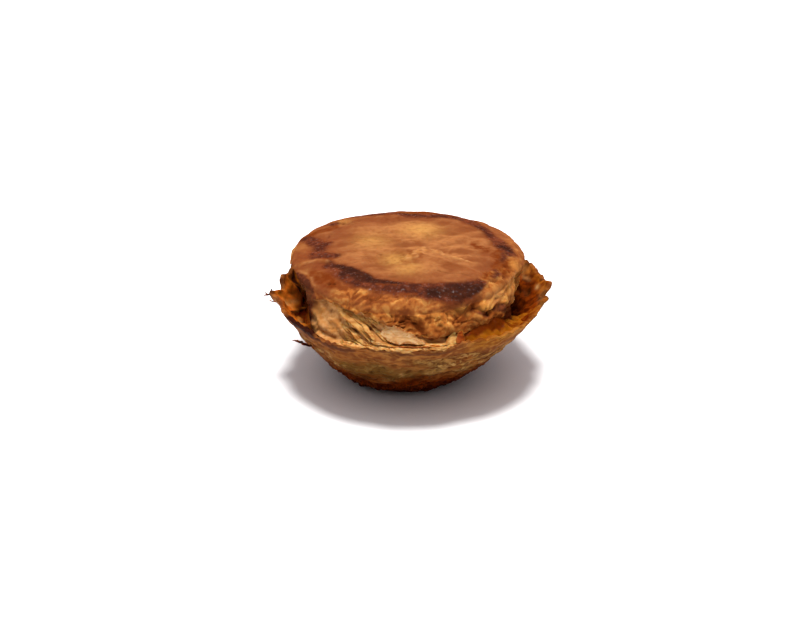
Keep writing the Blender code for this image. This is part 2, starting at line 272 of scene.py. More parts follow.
# Marks on the lid's side: points of bearing, height and half-width in millimetres.
SIDE_SCALE = 0.576  # millimetres along the side for a degree, 33 mm from the middle
SIDE_SEAM = 60.0
# Where the burnt left side starts: bearing, and the share of the way down.
LEFT_BURN = (
    (150.0, 0.30),
    (185.0, 0.15),
    (195.0, 0.00),
    (201.0, -0.035),
    (205.0, -0.040),
    (211.7, -0.030),
    (217.5, -0.005),
    (220.4, 0.07),
    (221.6, 0.33),
    (223.5, 0.60),
    (226.0, 1.5),
    (359.0, 1.5),
)
# Where the lid's side draws in: bearing, share of the way down, half-widths of both, and how far in millimetres.
SIDE_SINKS = (
    (195.0, 0.10, 12.0, 0.16, 1.5),
    (337.0, 0.16, 9.0, 0.22, 1.5),
    (289.0, 0.80, 3.0, 0.16, 0.8),
    (303.0, 0.80, 10.0, 0.20, 0.9),
)
RIGHT_FACE = (309.0, 338.0)  # the bearings of the cream face under the shoulder at the right
FACE_FOOT = ((300.0, 0.16), (309.0, 0.20), (318.0, 0.24), (324.0, 0.34), (330.0, 0.62), (340.0, 0.72))
BURNT_SIDE = (
    ((311.5, 28.8, 0.6), (317.5, 27.8, 1.1), (324.5, 26.5, 1.0)),
    ((313.5, 28.0, 0.5), (320.0, 26.9, 0.8)),
    ((299.5, 30.0, 0.15), (303.0, 28.9, 0.35), (307.5, 28.1, 0.35)),
)
REDDISH_SIDE = (
    ((258.0, 30.6, 0.4), (260.5, 28.9, 0.7), (263.5, 27.6, 0.8)),
    ((265.0, 28.6, 0.8), (270.0, 27.4, 1.2), (276.0, 26.4, 1.3), (283.0, 26.0, 1.3), (290.0, 26.6, 1.0)),
    ((299.5, 31.2, 0.3), (300.5, 29.8, 0.6), (304.0, 28.5, 0.8), (309.0, 27.9, 0.8)),
    ((226.0, 29.8, 0.5), (228.5, 29.0, 0.6), (230.0, 28.4, 0.3)),
    ((225.0, 32.4, 0.4), (226.5, 31.0, 0.4)),
    ((291.0, 27.4, 0.7), (297.0, 26.8, 1.1), (304.0, 26.8, 1.1), (311.0, 27.2, 1.0)),
    ((296.5, 30.4, 0.3), (298.5, 31.6, 0.5), (302.0, 32.2, 0.4)),
    ((292.0, 29.0, 0.5), (298.0, 28.2, 0.8), (305.0, 27.6, 0.8)),
    ((240.0, 30.2, 0.5), (246.0, 29.4, 0.7), (251.0, 29.2, 0.8)),
)
# Holes in the crust: bearing, height, half-width and half-height and depth, in millimetres.
SIDE_HOLES = (
    (265.4, 29.3, 0.9, 0.55, 1.0),
    (261.8, 29.7, 0.5, 0.4, 0.6),
    (270.5, 28.9, 0.8, 0.4, 0.6),
    (282.3, 27.9, 0.9, 0.5, 0.8),
    (287.0, 28.8, 0.6, 0.4, 0.5),
    (292.7, 28.0, 0.7, 0.5, 0.4),
    (249.9, 30.8, 0.8, 0.4, 0.6),
    (276.0, 26.4, 0.8, 0.5, 0.6),
    (225.4, 30.6, 0.4, 1.2, 0.4),
    (229.6, 28.8, 0.4, 0.9, 0.4),
    (235.1, 27.4, 0.4, 0.5, 0.4),
    (240.4, 28.0, 0.9, 0.5, 0.7),
    (243.4, 25.4, 1.1, 0.6, 0.9),
    (244.2, 22.9, 1.0, 0.4, 0.7),
    (250.2, 26.3, 0.9, 0.7, 0.9),
    (224.0, 24.6, 0.3, 0.5, 0.5),
    (228.0, 23.4, 0.3, 0.3, 0.4),
    (233.0, 25.0, 0.3, 0.3, 0.4),
    (306.0, 28.6, 1.4, 0.5, 0.8),
    (300.0, 30.6, 0.6, 1.1, 0.7),
    (314.0, 31.2, 0.7, 0.5, 0.5),
)
# Golden lumps on the crust: bearing, height, half-width, half-height and how far they stand out, in millimetres.
SIDE_LUMPS = (
    (293.8, 31.6, 1.9, 1.2, 0.9),
    (305.3, 30.1, 1.8, 1.2, 0.7),
    (297.0, 29.0, 1.6, 1.2, 0.4),
    (289.5, 30.6, 1.3, 0.9, 0.4),
    (280.5, 30.4, 1.2, 0.9, 0.4),
    (272.0, 30.6, 1.3, 0.8, 0.4),
    (327.0, 32.2, 2.2, 1.6, 0.5),
    (321.0, 29.2, 1.4, 0.9, 0.6),
    (276.5, 28.4, 1.0, 0.7, 0.3),
    (283.0, 28.2, 1.0, 0.7, 0.2),
)

# Marks on the case's inside: strokes of bearing, height and half-width, and spots of bearing, height,
# half-width, half-height and strength, in millimetres.
BURNT_INSIDE = (
    ((206.7, 24.0, 0.6), (211.0, 22.6, 1.3), (216.0, 21.4, 1.2), (224.0, 22.6, 1.0)),
    ((200.0, 22.0, 0.5), (196.0, 20.6, 0.5), (190.0, 19.2, 0.4), (183.5, 18.2, 0.4), (180.9, 17.9, 0.4)),
    ((169.0, 21.2, 0.8), (173.0, 20.0, 0.7), (176.5, 19.0, 0.7)),
    ((165.0, 24.0, 0.5), (167.0, 22.4, 0.8)),
)
# Pits and pale flake edges on the case's outside, of the same kind as the spots.
WALL_PITS = (
    (267.9, 15.2, 0.7, 0.4, 0.7),
    (270.6, 13.3, 0.8, 0.4, 0.7),
    (263.7, 16.6, 0.8, 0.3, 0.6),
    (257.8, 14.9, 0.7, 0.4, 0.5),
    (273.2, 16.7, 0.6, 0.4, 0.6),
    (276.1, 13.3, 0.7, 0.4, 0.5),
    (250.5, 11.6, 0.6, 0.5, 0.5),
)
WALL_FLAKES = (
    (271.6, 17.7, 1.4, 0.5, 0.9),
    (276.3, 18.4, 1.6, 0.6, 0.7),
    (294.3, 17.8, 1.2, 0.8, 0.8),
    (295.8, 19.9, 1.8, 0.7, 1.0),
    (286.7, 13.2, 1.2, 0.5, 0.5),
    (266.1, 12.5, 1.2, 0.5, 0.6),
    (274.0, 14.6, 1.0, 0.4, 0.7),
)
# Dark lines under the rim at the front, outside: the first a burnt mark, the second painted shadow under the rim's
# flakes. Points of bearing, height and half-width in millimetres.
RIM_BURN_AND_SHADOW = (
    ((228.0, 22.2, 0.3), (234.0, 21.6, 0.9), (241.0, 21.0, 0.9), (247.0, 21.3, 0.2)),
    ((262.0, 22.4, 0.1), (270.0, 21.6, 0.3), (279.0, 21.4, 0.4), (287.0, 21.8, 0.1)),
)
INSIDE_HOLES = (
    (178.0, 22.3, 1.1, 0.7, 0.9),
    (7.0 + 360.0, 21.3, 2.6, 0.9, 1.0),
    (12.0 + 360.0, 20.4, 1.6, 0.7, 0.8),
    (353.0, 21.2, 0.9, 0.6, 0.6),
    (190.0, 23.0, 0.8, 0.5, 0.6),
)
# Pale spots of painted light on the case's inside.
INSIDE_PAINTED_LIGHT = (
    (201.0, 18.8, 1.2, 0.8, 1.0),
    (188.0, 21.0, 1.8, 1.0, 0.6),
    (352.0, 24.0, 3.0, 0.9, 0.45),
    (385.0, 24.5, 4.0, 1.2, 0.35),
    (196.0, 17.8, 0.7, 0.5, 0.5),
    (3.5 + 360.0, 23.4, 1.2, 0.5, 1.0),
    (182.0, 20.7, 1.3, 0.5, 0.5),
    (16.0 + 360.0, 23.4, 2.0, 0.4, 0.4),
)

# Torn strips on the lid's side. Each has a line of bearing, share of the way down the side and half-width in
# millimetres, how far its start, middle and end stand off the side, and how much its lower edge stands out
# further and how much both edges curl out, all in millimetres. Shares above 1 lie over the rim.
SIDE_DEPTH = 10.0  # millimetres down the side
CREAM_STRANDS = (
    (((231.0, 0.04, 0.3), (233.0, 0.10, 0.5), (237.4, 0.25, 0.6), (241.1, 0.32, 0.6), (245.4, 0.45, 0.6), (247.2, 0.51, 0.5),
      (251.4, 0.74, 0.5), (253.2, 0.92, 0.3)), (0.1, 0.5, 0.2), 0.2, 0.1),
    (((236.0, 0.12, 0.2), (240.5, 0.20, 0.5), (244.5, 0.31, 0.5), (248.8, 0.46, 0.5), (252.5, 0.66, 0.4), (255.5, 0.84, 0.2)),
     (0.1, 0.4, 0.2), 0.2, 0.1),
    (((241.0, 0.14, 0.2), (245.5, 0.22, 0.4), (249.5, 0.33, 0.4), (252.8, 0.50, 0.3), (254.5, 0.60, 0.2)),
     (0.1, 0.3, 0.2), 0.1, 0.1),
    (((238.5, 0.52, 0.3), (242.0, 0.58, 0.5), (245.5, 0.72, 0.5), (248.5, 0.86, 0.4), (250.5, 0.97, 0.2)),
     (0.0, 0.4, 0.2), 0.2, 0.1),
    (((239.0, 0.76, 0.2), (243.0, 0.82, 0.5), (247.0, 0.92, 0.5), (251.0, 1.02, 0.4), (256.0, 1.07, 0.2)),
     (0.1, 0.4, 0.2), 0.2, 0.2),
)
CREAM_FLAKE = (
    (((256.2, 0.47, 1.6), (258.0, 0.51, 2.1), (261.4, 0.56, 2.5), (264.4, 0.62, 2.4), (268.0, 0.67, 1.7),
      (271.5, 0.75, 1.1), (276.0, 0.85, 0.2)), (0.6, 0.9, 0.5), 0.1, 0.0),
)
RIM_FLAKES = (
    (((250.0, 1.06, 0.1), (254.0, 1.14, 0.5), (258.5, 1.17, 0.6), (263.0, 1.13, 0.2)), (0.1, 0.15, 0.05), 0.0, 0.1),
    (((262.0, 1.10, 0.1), (267.0, 1.20, 0.7), (271.0, 1.18, 0.4), (276.0, 1.12, 0.1)), (0.05, 0.20, 0.05), 0.0, 0.1),
    (((277.0, 1.08, 0.1), (280.5, 1.17, 0.4), (285.0, 1.13, 0.1)), (0.05, 0.15, 0.05), 0.0, 0.1),
    (((236.0, 1.02, 0.1), (241.0, 1.10, 0.4), (247.0, 1.15, 0.5), (252.0, 1.14, 0.3), (255.0, 1.10, 0.1)),
     (0.1, 0.25, 0.1), 0.0, 0.1),
    (((255.0, 0.92, 0.2), (261.0, 0.99, 0.7), (270.0, 1.04, 0.8), (278.0, 1.05, 0.6), (285.0, 1.02, 0.2)),
     (0.2, 0.4, 0.2), 0.2, 0.1),
    (((264.0, 0.95, 0.2), (272.0, 0.98, 0.5), (281.0, 1.01, 0.6), (289.0, 1.01, 0.3), (293.0, 1.00, 0.1)),
     (0.4, 0.6, 0.3), 0.2, 0.1),
    (((252.0, 0.78, 0.1), (257.0, 0.88, 0.6), (263.0, 0.95, 0.7), (270.0, 1.00, 0.1)), (0.2, 0.5, 0.2), 0.2, 0.1),
    (((272.0, 0.86, 0.2), (277.0, 0.92, 0.6), (282.0, 0.95, 0.5), (287.0, 0.95, 0.1)), (0.3, 0.6, 0.4), 0.2, 0.1),
)
CREAM_FLAP = (
    (((284.6, 1.06, 0.7), (286.3, 0.98, 1.4), (288.2, 0.88, 1.7), (290.0, 0.78, 0.9)), (0.4, 0.9, 1.1), 0.0, 0.0),
)
# The curled flap's inner side: its dark red-brown is painted shade of the curl.
FLAP_SHADE_SIDE = (
    (((290.4, 1.16, 0.7), (290.9, 1.02, 1.3), (291.2, 0.88, 1.3), (291.2, 0.72, 0.5)), (0.4, 1.2, 1.4), -0.1, 0.0),
)
LEFT_LAYERS = (
    (((170.0, -0.030, 0.1), (174.0, -0.010, 0.40), (178.0, 0.010, 0.45), (182.0, 0.02, 0.3), (187.0, 0.03, 0.1)),
     (0.0, 0.15, 0.05), 0.1, 0.05),
    (((172.0, 0.03, 0.1), (176.0, 0.07, 0.4), (181.0, 0.09, 0.4), (186.0, 0.10, 0.1)), (0.0, 0.15, 0.05), 0.1, 0.05),
)
# The caramel between the lid and the case: from which bearing to which, how far down the lid's side it
# starts, how far under the rim it ends, and how far it sags between, in millimetres.
GLAZE_FROM = 285.0
GLAZE_TO = 356.0
GLAZE_CLIMB = (
    (285.0, 0.92),
    (291.0, 0.68),
    (298.0, 0.56),
    (304.0, 0.52),
    (311.0, 0.52),
    (318.0, 0.62),
    (327.0, 0.80),
    (338.0, 0.92),
    (356.0, 0.97),
)
GLAZE_DROP = ((285.0, 0.3), (300.0, 0.4), (318.0, 0.7), (335.0, 1.6), (356.0, 3.0))
GLAZE_SAG = 0.9
GLAZE_COLUMNS = 130
GLAZE_ROWS = 24
RAG_LIMIT = 0.6  # strips wider than this are no more ragged, in millimetres
STRAND_THICKNESS = 0.25
FLAKE_THICKNESS = 0.4
LOOSE_STRANDS = 46  # thin strands among the torn layers
RIM_SHREDS = 75  # short ragged shreds where the torn layers end on the rim
# Burnt shreds that stick out of the case at the left: points of bearing, radius, height and half-width in mm.
SHREDS = (
    ((187.2, 37.8, 24.6, 0.3), (186.8, 38.9, 24.6, 0.35), (187.2, 39.8, 24.3, 0.3), (186.8, 40.6, 24.0, 0.1)),
    ((187.0, 39.0, 24.4, 0.2), (187.6, 39.8, 24.7, 0.25), (187.2, 40.2, 25.0, 0.1)),
    ((187.0, 38.2, 24.8, 0.3), (186.8, 38.3, 25.6, 0.4), (186.5, 38.1, 26.2, 0.25)),
    ((214.5, 30.6, 14.6, 0.30), (212.0, 33.0, 15.6, 0.5), (209.8, 34.5, 16.2, 0.4), (208.6, 35.6, 16.4, 0.1)),
    ((187.2, 37.0, 21.9, 0.2), (187.0, 38.3, 22.3, 0.25), (186.5, 38.8, 22.7, 0.1)),
)
SHRED_ROWS = 24

# Loose crumbs: bearing, share of the way down the side, and size in millimetres.
CRUMBS = (
    (248.8, 1.06, 0.45),
    (29.0, 0.02, 0.4),
    (243.0, 0.99, 0.30),
    (251.5, 0.95, 0.28),
    (262.5, 0.99, 0.25),
    (274.0, 0.97, 0.30),
)

# Mesh fineness.
LID_COLUMNS = 560
CASE_COLUMNS = 540
FRONT_CROWDING = 26.0
TOP_ROWS = 95
SIDE_ROWS = 74
UNDER_ROWS = 5
WALL_ROWS = 105
RIM_ROWS = 6
INSIDE_ROWS = 44

# The camera: where it looks, from how far and how high, and how wide it sees there.
CAMERA_TARGET = Vector((-0.0010, 0.0, 0.0155))
CAMERA_DISTANCE = 0.5
CAMERA_ELEVATION = 25.0
CAMERA_SENSOR = 36.0
CAMERA_LENS = 81.0

# The light: the lamp's strength and how many degrees wide it looks, and the glow's colour at the sines of
# several heights above the horizon.
LAMP_STRENGTH = 5.2
LAMP_WIDTH = 20.0
GLOW = ((0.0, (0.030, 0.028, 0.030)), (0.35, (0.120, 0.100, 0.098)), (0.90, (1.200, 1.150, 1.210)))


def smooth(low, high, x):
    """0 below low, 1 above high, and an eased climb between them."""
    share = np.clip((x - low) / (high - low), 0.0, 1.0)
    return share * share * (3.0 - 2.0 * share)


def bump(bearing, centre, width):
    """A rounded peak of height 1 at a bearing."""
    away = (bearing - centre + 180.0) % 360.0 - 180.0
    return np.exp(-((away / width) ** 2))


def between(bearing, start, end, fade):
    """1 from one bearing to another, fading out over some degrees beyond them."""
    middle, half = 0.5 * (start + end), 0.5 * (end - start)
    away = np.abs((bearing - middle + 180.0) % 360.0 - 180.0)
    return 1.0 - smooth(half, half + fade, away)


def around(bearing, anchors):
    """A value round the pie, eased from one (bearing, value) anchor to the next."""
    at = np.array([a[0] for a in anchors])
    values = np.array([a[1] for a in anchors])
    along = (bearing - at[0]) % 360.0 + at[0]
    i = np.searchsorted(at, along, side="right") - 1
    following = (i + 1) % len(at)
    span = (at[following] - at[i]) % 360.0
    return values[i] + (values[following] - values[i]) * smooth(0.0, 1.0, (along - at[i]) / span)


def scattered(cell, order):
    """A repeatable pick from 0 to 255 for each whole-numbered cell of space."""
    x, y, z = np.moveaxis(cell, -1, 0)
    return order[(order[(order[x & 255] + y) & 255] + z) & 255]


def uneven(points, kind):
    """Smooth gradient noise at points, of a kind that gives its height, the size of its lumps and its seed."""
    height, size, seed = kind
    rng = np.random.default_rng(seed)
    order = rng.permutation(256)
    slopes = rng.normal(size=(256, 3))
    slopes /= np.linalg.norm(slopes, axis=1)[:, None]
    scaled = points / np.asarray(size, float)
    cell = np.floor(scaled).astype(int)
    inside = scaled - cell
    fade = inside**3 * (inside * (inside * 6.0 - 15.0) + 10.0)
    total = np.zeros(points.shape[:-1])
    for corner in itertools.product((0, 1), repeat=3):
        slope = slopes[scattered(cell + np.array(corner), order)]
        weight = np.prod(np.where(corner, fade, 1.0 - fade), axis=-1)
        total += weight * (slope * (inside - np.array(corner))).sum(axis=-1)
    return 1.6 * height * total


def cells(points, size, seed):
    """For scattered crumbs of a size: how far off the nearest one's middle is, how near the seam to the next
    one, both as shares of the size, and a number of its own from 0 to 1."""
    rng = np.random.default_rng(seed)
    order = rng.permutation(256)
    jitter = rng.random((256, 3))
    own = rng.random(256)
    scaled = points / np.asarray(size, float)
    cell = np.floor(scaled).astype(int)
    nearest = np.full(points.shape[:-1], 9.0)
    second = nearest.copy()
    number = np.zeros(points.shape[:-1])
    for step in itertools.product((-1, 0, 1), repeat=3):
        neighbour = cell + np.array(step)
        pick = scattered(neighbour, order)
        away = np.linalg.norm(neighbour + jitter[pick] - scaled, axis=-1)
        second = np.minimum(second, np.maximum(nearest, away))
        number = np.where(away < nearest, own[pick], number)
        nearest = np.minimum(nearest, away)
    return nearest, second - nearest, number


def off_strokes(flat, lines):
    """How far points lie outside painted strokes, negative within them, all in millimetres."""
    best = np.full(flat.shape[:-1], 99.0)
    for line in lines:
        for start, end in zip(line, line[1:]):
            a, b = np.array(start[:2]), np.array(end[:2])
            share = np.clip(((flat - a) @ (b - a)) / ((b - a) @ (b - a)), 0.0, 1.0)
            away = np.linalg.norm(flat - a - share[..., None] * (b - a), axis=-1)
            best = np.minimum(best, away - (start[2] + share * (end[2] - start[2])))
    return best


def polar(bearing, radius, height):
    """Points from bearings, radii and heights."""
    angle = np.radians(bearing)
    flat = np.broadcast_arrays(radius * np.cos(angle), radius * np.sin(angle), height)
    return np.stack(flat, axis=-1)


def rim(bearing):
    """The rim's outer radius and its height, with its torn places."""
    edge = polar(bearing, RIM_RADIUS, RIM_HEIGHT)
    radius = RIM_RADIUS + uneven(edge, RIM_WANDER)
    height = RIM_HEIGHT + uneven(edge, RIM_WAVES)
    for centre, width, out, up in RIM_MARKS:
        mark = bump(bearing, centre, width)
        radius = radius + out * mark
        height = height + up * mark
    return radius, height


def inside_height(bearing, radius):
    """The case's upper surface: the level seat, the gaps beside the lid, and the wall's inner face."""
    rim_radius, rim_height = rim(bearing)
    inset = rim_radius - RIM_THICKNESS - radius
    thickness = RIM_THICKNESS + (WALL_THICKNESS - RIM_THICKNESS) * smooth(0.0, THINNING_DEPTH, inset)
    share = (radius + thickness - BASE_RADIUS) / (rim_radius - BASE_RADIUS)
    wall = rim_height * np.maximum(share, 0.0) ** (1.0 / WALL_SWELL)
    drop = smooth(SEAT_RADIUS, SEAT_RADIUS + GAP_SLOPE, radius)
    floor = SEAT_HEIGHT - around(bearing, GAP_DEPTHS) * drop
    fillet = FILLET * smooth(0.0, FILLET_REACH, inset)
    surface = 0.5 * (wall + floor + np.sqrt((wall - floor) ** 2 + fillet**2))
    dents = uneven(polar(bearing, radius, surface), INSIDE_DENTS)
    return surface + dents * smooth(0.0, EDGE_FADE, inset) * drop


def wall_point(bearing, share):
    """The case's outside, from 0 at the flat spot to 1 at the rim."""
    rim_radius, rim_height = rim(bearing)
    radius = BASE_RADIUS + (rim_radius - BASE_RADIUS) * share**WALL_SWELL
    ring = polar(bearing, radius, rim_height * share)
    shown = smooth(0.0, 0.12, share) * (1.0 - smooth(0.9, 1.0, share))
    crumbly = 1.0 - smooth(0.15, 0.5, share)
    dents = uneven(ring, WALL_DENTS) + uneven(ring, WALL_CRUMB) * crumbly
    return polar(bearing, radius + dents * shown, rim_height * share)


def lid_radius(bearing):
    """The lid's widest radius, a little uneven."""
    edge = polar(bearing, LID_RADIUS, SHOULDER_HEIGHT)
    wander = uneven(edge, LID_WANDER) + uneven(edge, LID_NOTCHES)
    return LID_RADIUS + LID_SHIFT * np.cos(np.radians(bearing)) + wander


def shoulder_height(bearing):
    """The height at which the lid is widest."""
    return SHOULDER_HEIGHT - SHOULDER_DROP * bump(bearing, SHOULDER_DROP_AT, SHOULDER_DROP_WIDTH)


def top_point(bearing, reach):
    """The domed top, from 0 at its middle to 1 at the shoulder."""
    sine = np.clip(reach, 0.0, 1.0) ** (DOME_FULLNESS / 2.0)
    cosine = np.sqrt(np.maximum(1.0 - sine**2, 0.0))
    shoulder = shoulder_height(bearing)
    point = polar(bearing, lid_radius(bearing) * reach, shoulder + (LID_TOP - shoulder) * cosine)
    point[..., 2] += uneven(point, TOP_WRINKLES) * cosine
    return point


def foot(bearing):
    """The radius and height at which the lid's side meets the case."""
    rim_radius, _ = rim(bearing)
    radius = np.minimum(around(bearing, FOOT_RADII), rim_radius - RIM_THICKNESS - RIM_GAP)
    return radius, inside_height(bearing, radius) + CLEARANCE


def below_crust(bearing, share, ragged):
    """1 under the lower edge of the lid's brown top layer, whose course ragged shifts."""
    edge = around(bearing, CRUST_EDGE) + ragged
    return smooth(edge - CRUST_LIP, edge + CRUST_LIP, share)


def side_point(bearing, share):
    """The lid's side, from 0 at the shoulder to 1 at the foot."""
    shoulder = lid_radius(bearing)
    slanted = bearing + TEAR_SLANT * (1.0 - share) * bump(bearing, TEAR_AT, TEAR_WIDTH)
    foot_radius, _ = foot(slanted)
    reach = foot_radius - shoulder
    flared = smooth(-FLARE_BAND, FLARE_BAND, reach)
    drift = flared * share + (1.0 - flared) * smooth(0.0, UNDERCUT, share)
    radius = shoulder + reach * drift
    top = shoulder_height(bearing)
    height = top + (foot(bearing)[1] - top) * share
    ring = polar(bearing, radius, height)
    below = below_crust(bearing, share, uneven(ring, (0.10, 0.0022, 46)))
    torn = smooth(LAYERS_FROM - LAYERS_FADE, LAYERS_FROM, bearing)
    torn = torn * (1.0 - smooth(LAYERS_TO, LAYERS_TO + LAYERS_FADE, bearing))
    fallen = LAYER_CLIMB * LID_RADIUS * np.radians(bearing) + uneven(ring, LAYER_WANDER)
    ridges = np.sin(2.0 * math.pi * (height + fallen) / LAYER_PITCH)
    relief = uneven(ring, SIDE_BULGES) + uneven(ring, SIDE_GRAIN)
    relief = relief + LAYER_RISE * ridges * torn * below - CRUST_STEP * below
    for centre, down, width, depth, rise in LID_LUMPS:
        relief = relief + rise * bump(bearing, centre, width) * np.exp(-(((share - down) / depth) ** 2))
    relief = relief * smooth(0.0, 0.1, share) * (1.0 - smooth(0.86, 1.0, share))
    return polar(bearing, radius + RELIEF_OUT * relief, height + RELIEF_UP * relief * flared)


def lid_point(bearing, down):
    """The lid's outer surface: down is -1 at the middle of its top, 0 at its shoulder and 1 at its foot."""
    top = top_point(bearing, np.clip(1.0 + down, 0.0, 1.0))
    side = side_point(bearing, np.clip(down, 0.0, 1.0))
    return np.where((down < 0.0)[..., None], top, side)


def bearings(count):
    """The columns of a piece's mesh, closer together at the front, where the torn layers are."""
    even = np.arange(count) * 360.0 / count
    return even - FRONT_CROWDING * np.cos(np.radians(even))


def even_reaches(count):
    """Shares of the top's radius, from the middle to the shoulder, at even steps along its curved profile."""
    reach = np.linspace(0.0, 1.0, 4000)
    drop = SHOULDER_HEIGHT - SHOULDER_DROP - LID_TOP
    height = drop * (1.0 - np.sqrt(1.0 - reach**DOME_FULLNESS))
    walked = np.concatenate([[0.0], np.cumsum(np.hypot(np.diff(reach) * LID_RADIUS, np.diff(height)))])
    return np.interp(np.arange(1, count + 1) / count * walked[-1], walked, reach)


def facing(grid):
    """The outward direction at each point of a grid of rings."""
    along = np.roll(grid, -1, axis=1) - np.roll(grid, 1, axis=1)
    up = np.gradient(grid, axis=0)
    out = np.cross(along, up)
    return out / np.maximum(np.linalg.norm(out, axis=-1, keepdims=True), 1e-12)


def softened(field, turns, rounds):
    """A field on a grid of rings, averaged with its neighbours several times over."""
    for _ in range(rounds):
        padded = np.concatenate([field[:1], field, field[-1:]])
        field = (padded[:-2] + 2.0 * field + padded[2:]) / 4.0
        for _ in range(turns):
            field = (np.roll(field, 1, axis=1) + 2.0 * field + np.roll(field, -1, axis=1)) / 4.0
    return field


def skin(name, rings, low, high, masks):
    """A closed piece from rings of points and the heights of the two points on the axis that close it."""
    count, columns = rings.shape[:2]
    points = np.vstack([rings.reshape(-1, 3), [(0.0, 0.0, low)], [(0.0, 0.0, high)]])
    points[:, 0] += LEAN * points[:, 2]
    bottom, top = count * columns, count * columns + 1
    c = np.arange(columns)
    d = (c + 1) % columns
    near = (np.arange(count - 1) * columns)[:, None]
    quads = np.stack([near + c, near + d, near + columns + d, near + columns + c], axis=-1).reshape(-1, 4)
    last = (count - 1) * columns
    fans = [(bottom, d[i], c[i]) for i in range(columns)] + [(top, last + c[i], last + d[i]) for i in range(columns)]
    mesh = bpy.data.meshes.new(name)
    mesh.from_pydata(points.tolist(), [], quads.tolist() + [tuple(int(v) for v in f) for f in fans])
    mesh.shade_smooth()
    for mask, field in masks.items():
        ends = np.concatenate([field.reshape(-1), [field[0].mean(), field[-1].mean()]])
        mesh.attributes.new(mask, "FLOAT", "POINT").data.foreach_set("value", ends.astype(np.float32))
    piece = bpy.data.objects.new(name, mesh)
    bpy.context.scene.collection.objects.link(piece)
    return piece


def spots(flat, places):
    """The deepest of round pits at points: each is x, y, radius and depth in millimetres."""
    total = np.zeros(flat.shape[:-1])
    for x, y, radius, depth in places:
        away = np.hypot(flat[..., 0] - x, flat[..., 1] - y)
        total = np.maximum(total, depth * np.exp(-((away / radius) ** 2)))
    return total


def shifted(points, kind, shifts):
    """A sideways shift for each point, so that patterns drawn with it lose their straight edges."""
    return np.stack([uneven(points + shift, kind) for shift in shifts], axis=-1)


def puffs(points, size, seed):
    """Rounded puffs with sharp valleys between them: 0 in a valley and about 1 on a puff."""
    return np.abs(uneven(points, (2.0, size, seed)))


def unrolled(points):
    """Places on a side, unrolled: millimetres along it, and height in millimetres."""
    turn = np.degrees(np.arctan2(points[..., 1], points[..., 0]))
    along = ((turn - SIDE_SEAM) % 360.0 + SIDE_SEAM) * SIDE_SCALE
    return np.stack([along, points[..., 2] / MM], axis=-1)


def unrolled_lines(lines):
    """Strokes on a side, from bearings to millimetres along it."""
    return tuple(tuple((bearing * SIDE_SCALE, height, half) for bearing, height, half in line) for line in lines)


def side_spots(side, places):
    """The strongest of oval spots on a side: each is bearing, height, half-width, half-height and strength."""
    total = np.zeros(side.shape[:-1])
    for bearing, height, wide, tall, strength in places:
        across = (side[..., 0] - bearing * SIDE_SCALE) / wide
        up = (side[..., 1] - height) / tall
        total = np.maximum(total, strength * np.exp(-(across**2) - up**2))
    return total


def painted(off, soft_in, soft_out):
    """1 inside painted strokes and 0 outside, from how far off them points are in millimetres."""
    return 1.0 - smooth(-soft_in, soft_out, off)


def glazed_top(points, flat, warp):
    """The smooth glazed top: its folds, its pale crease, its patch and its wrinkle."""
    turned = points + 0.4 * warp
    turned = np.stack([turned[..., 0], turned[..., 1] - TOP_SLANT * turned[..., 0], turned[..., 2]], axis=-1)
    folds = uneven(turned, TOP_FOLDS)
    swell = uneven(turned, TOP_SWELL)
    valley = uneven(turned, TOP_CREASES)
    crease = np.exp(-((valley / 0.05) ** 2)) * smooth(0.0, 0.3, uneven(points, (1.0, 0.006, 55)))
    fray = uneven(points, (0.6, 0.0015, 56))
    ridge = painted(off_strokes(flat, (PALE_CREASE,)) + 0.8 * fray, 0.4, 0.6)
    left_fold = painted(off_strokes(flat, (LEFT_FOLD,)) + 0.5 * fray, 0.5, 0.9)
    behind = np.clip((flat[..., 1] + 0.75 * flat[..., 0] + 3.5) / 4.0, -1.0, 1.0)
    patch = np.exp(-(off_strokes(flat, (PALE_CREASE,)) / 5.0) ** 2) * painted(behind, 0.2, 0.2)
    wrinkle = painted(off_strokes(flat, (SHADED_WRINKLE,)) + 0.4 * fray, 0.1, 0.35)
    relief = folds + swell + uneven(points, TOP_GRAIN) - 0.10 * MM * crease
    relief = relief + 0.35 * MM * ridge + 0.22 * MM * patch + 0.5 * MM * left_fold - 0.12 * MM * wrinkle
    masks = {
        # fold is lighter on the folds' crests and darker in their valleys: painted shade of the folds.
        "fold": np.clip(0.5 + 0.7 * folds / TOP_FOLDS[0] + 0.5 * swell / TOP_SWELL[0], 0.0, 1.0),
        # dark: painted shade along the crease's valley and in the wrinkle.
        "dark": np.maximum(0.6 * crease, wrinkle),
        "ridge": np.maximum(ridge, 0.5 * left_fold),
        "patch": patch,
    }
    return relief, masks


def bubbly_crust(points, warp):
    """The crust round the shoulder and down the side: puffs, crumbs and holes, with painted shade in its cracks and
    low places, and a mask that paints the puffs lighter than their valleys.
    """
    torn = points + 1.5 * warp + shifted(points, (0.0007, 0.0022, 64), (0.6, 0.7, 0.8))
    broad = uneven(torn, (1.0, (0.0062, 0.0062, 0.0040), 65))
    small = puffs(torn, (0.0034, 0.0034, 0.0020), 66)
    tiny = uneven(torn, (1.0, (0.0016, 0.0016, 0.0009), 67))
    grain = uneven(torn, (1.0, 0.0007, 68))
    crack = (1.0 - smooth(0.0, 0.20, small)) * smooth(-0.1, 0.3, uneven(points, (1.0, 0.004, 69)))
    relief = 0.62 * MM * broad + 0.34 * MM * (small - 0.35) + 0.17 * MM * tiny + 0.10 * MM * grain
    # Painted shade in the cracks between puffs and in the low places.
    low = smooth(0.05, 0.7, -(broad + 0.8 * tiny))
    return relief - 0.30 * MM * crack, np.clip(0.7 * crack + 0.35 * low, 0.0, 1.0), np.clip(0.5 + 0.6 * broad + 0.5 * tiny, 0.0, 1.0)


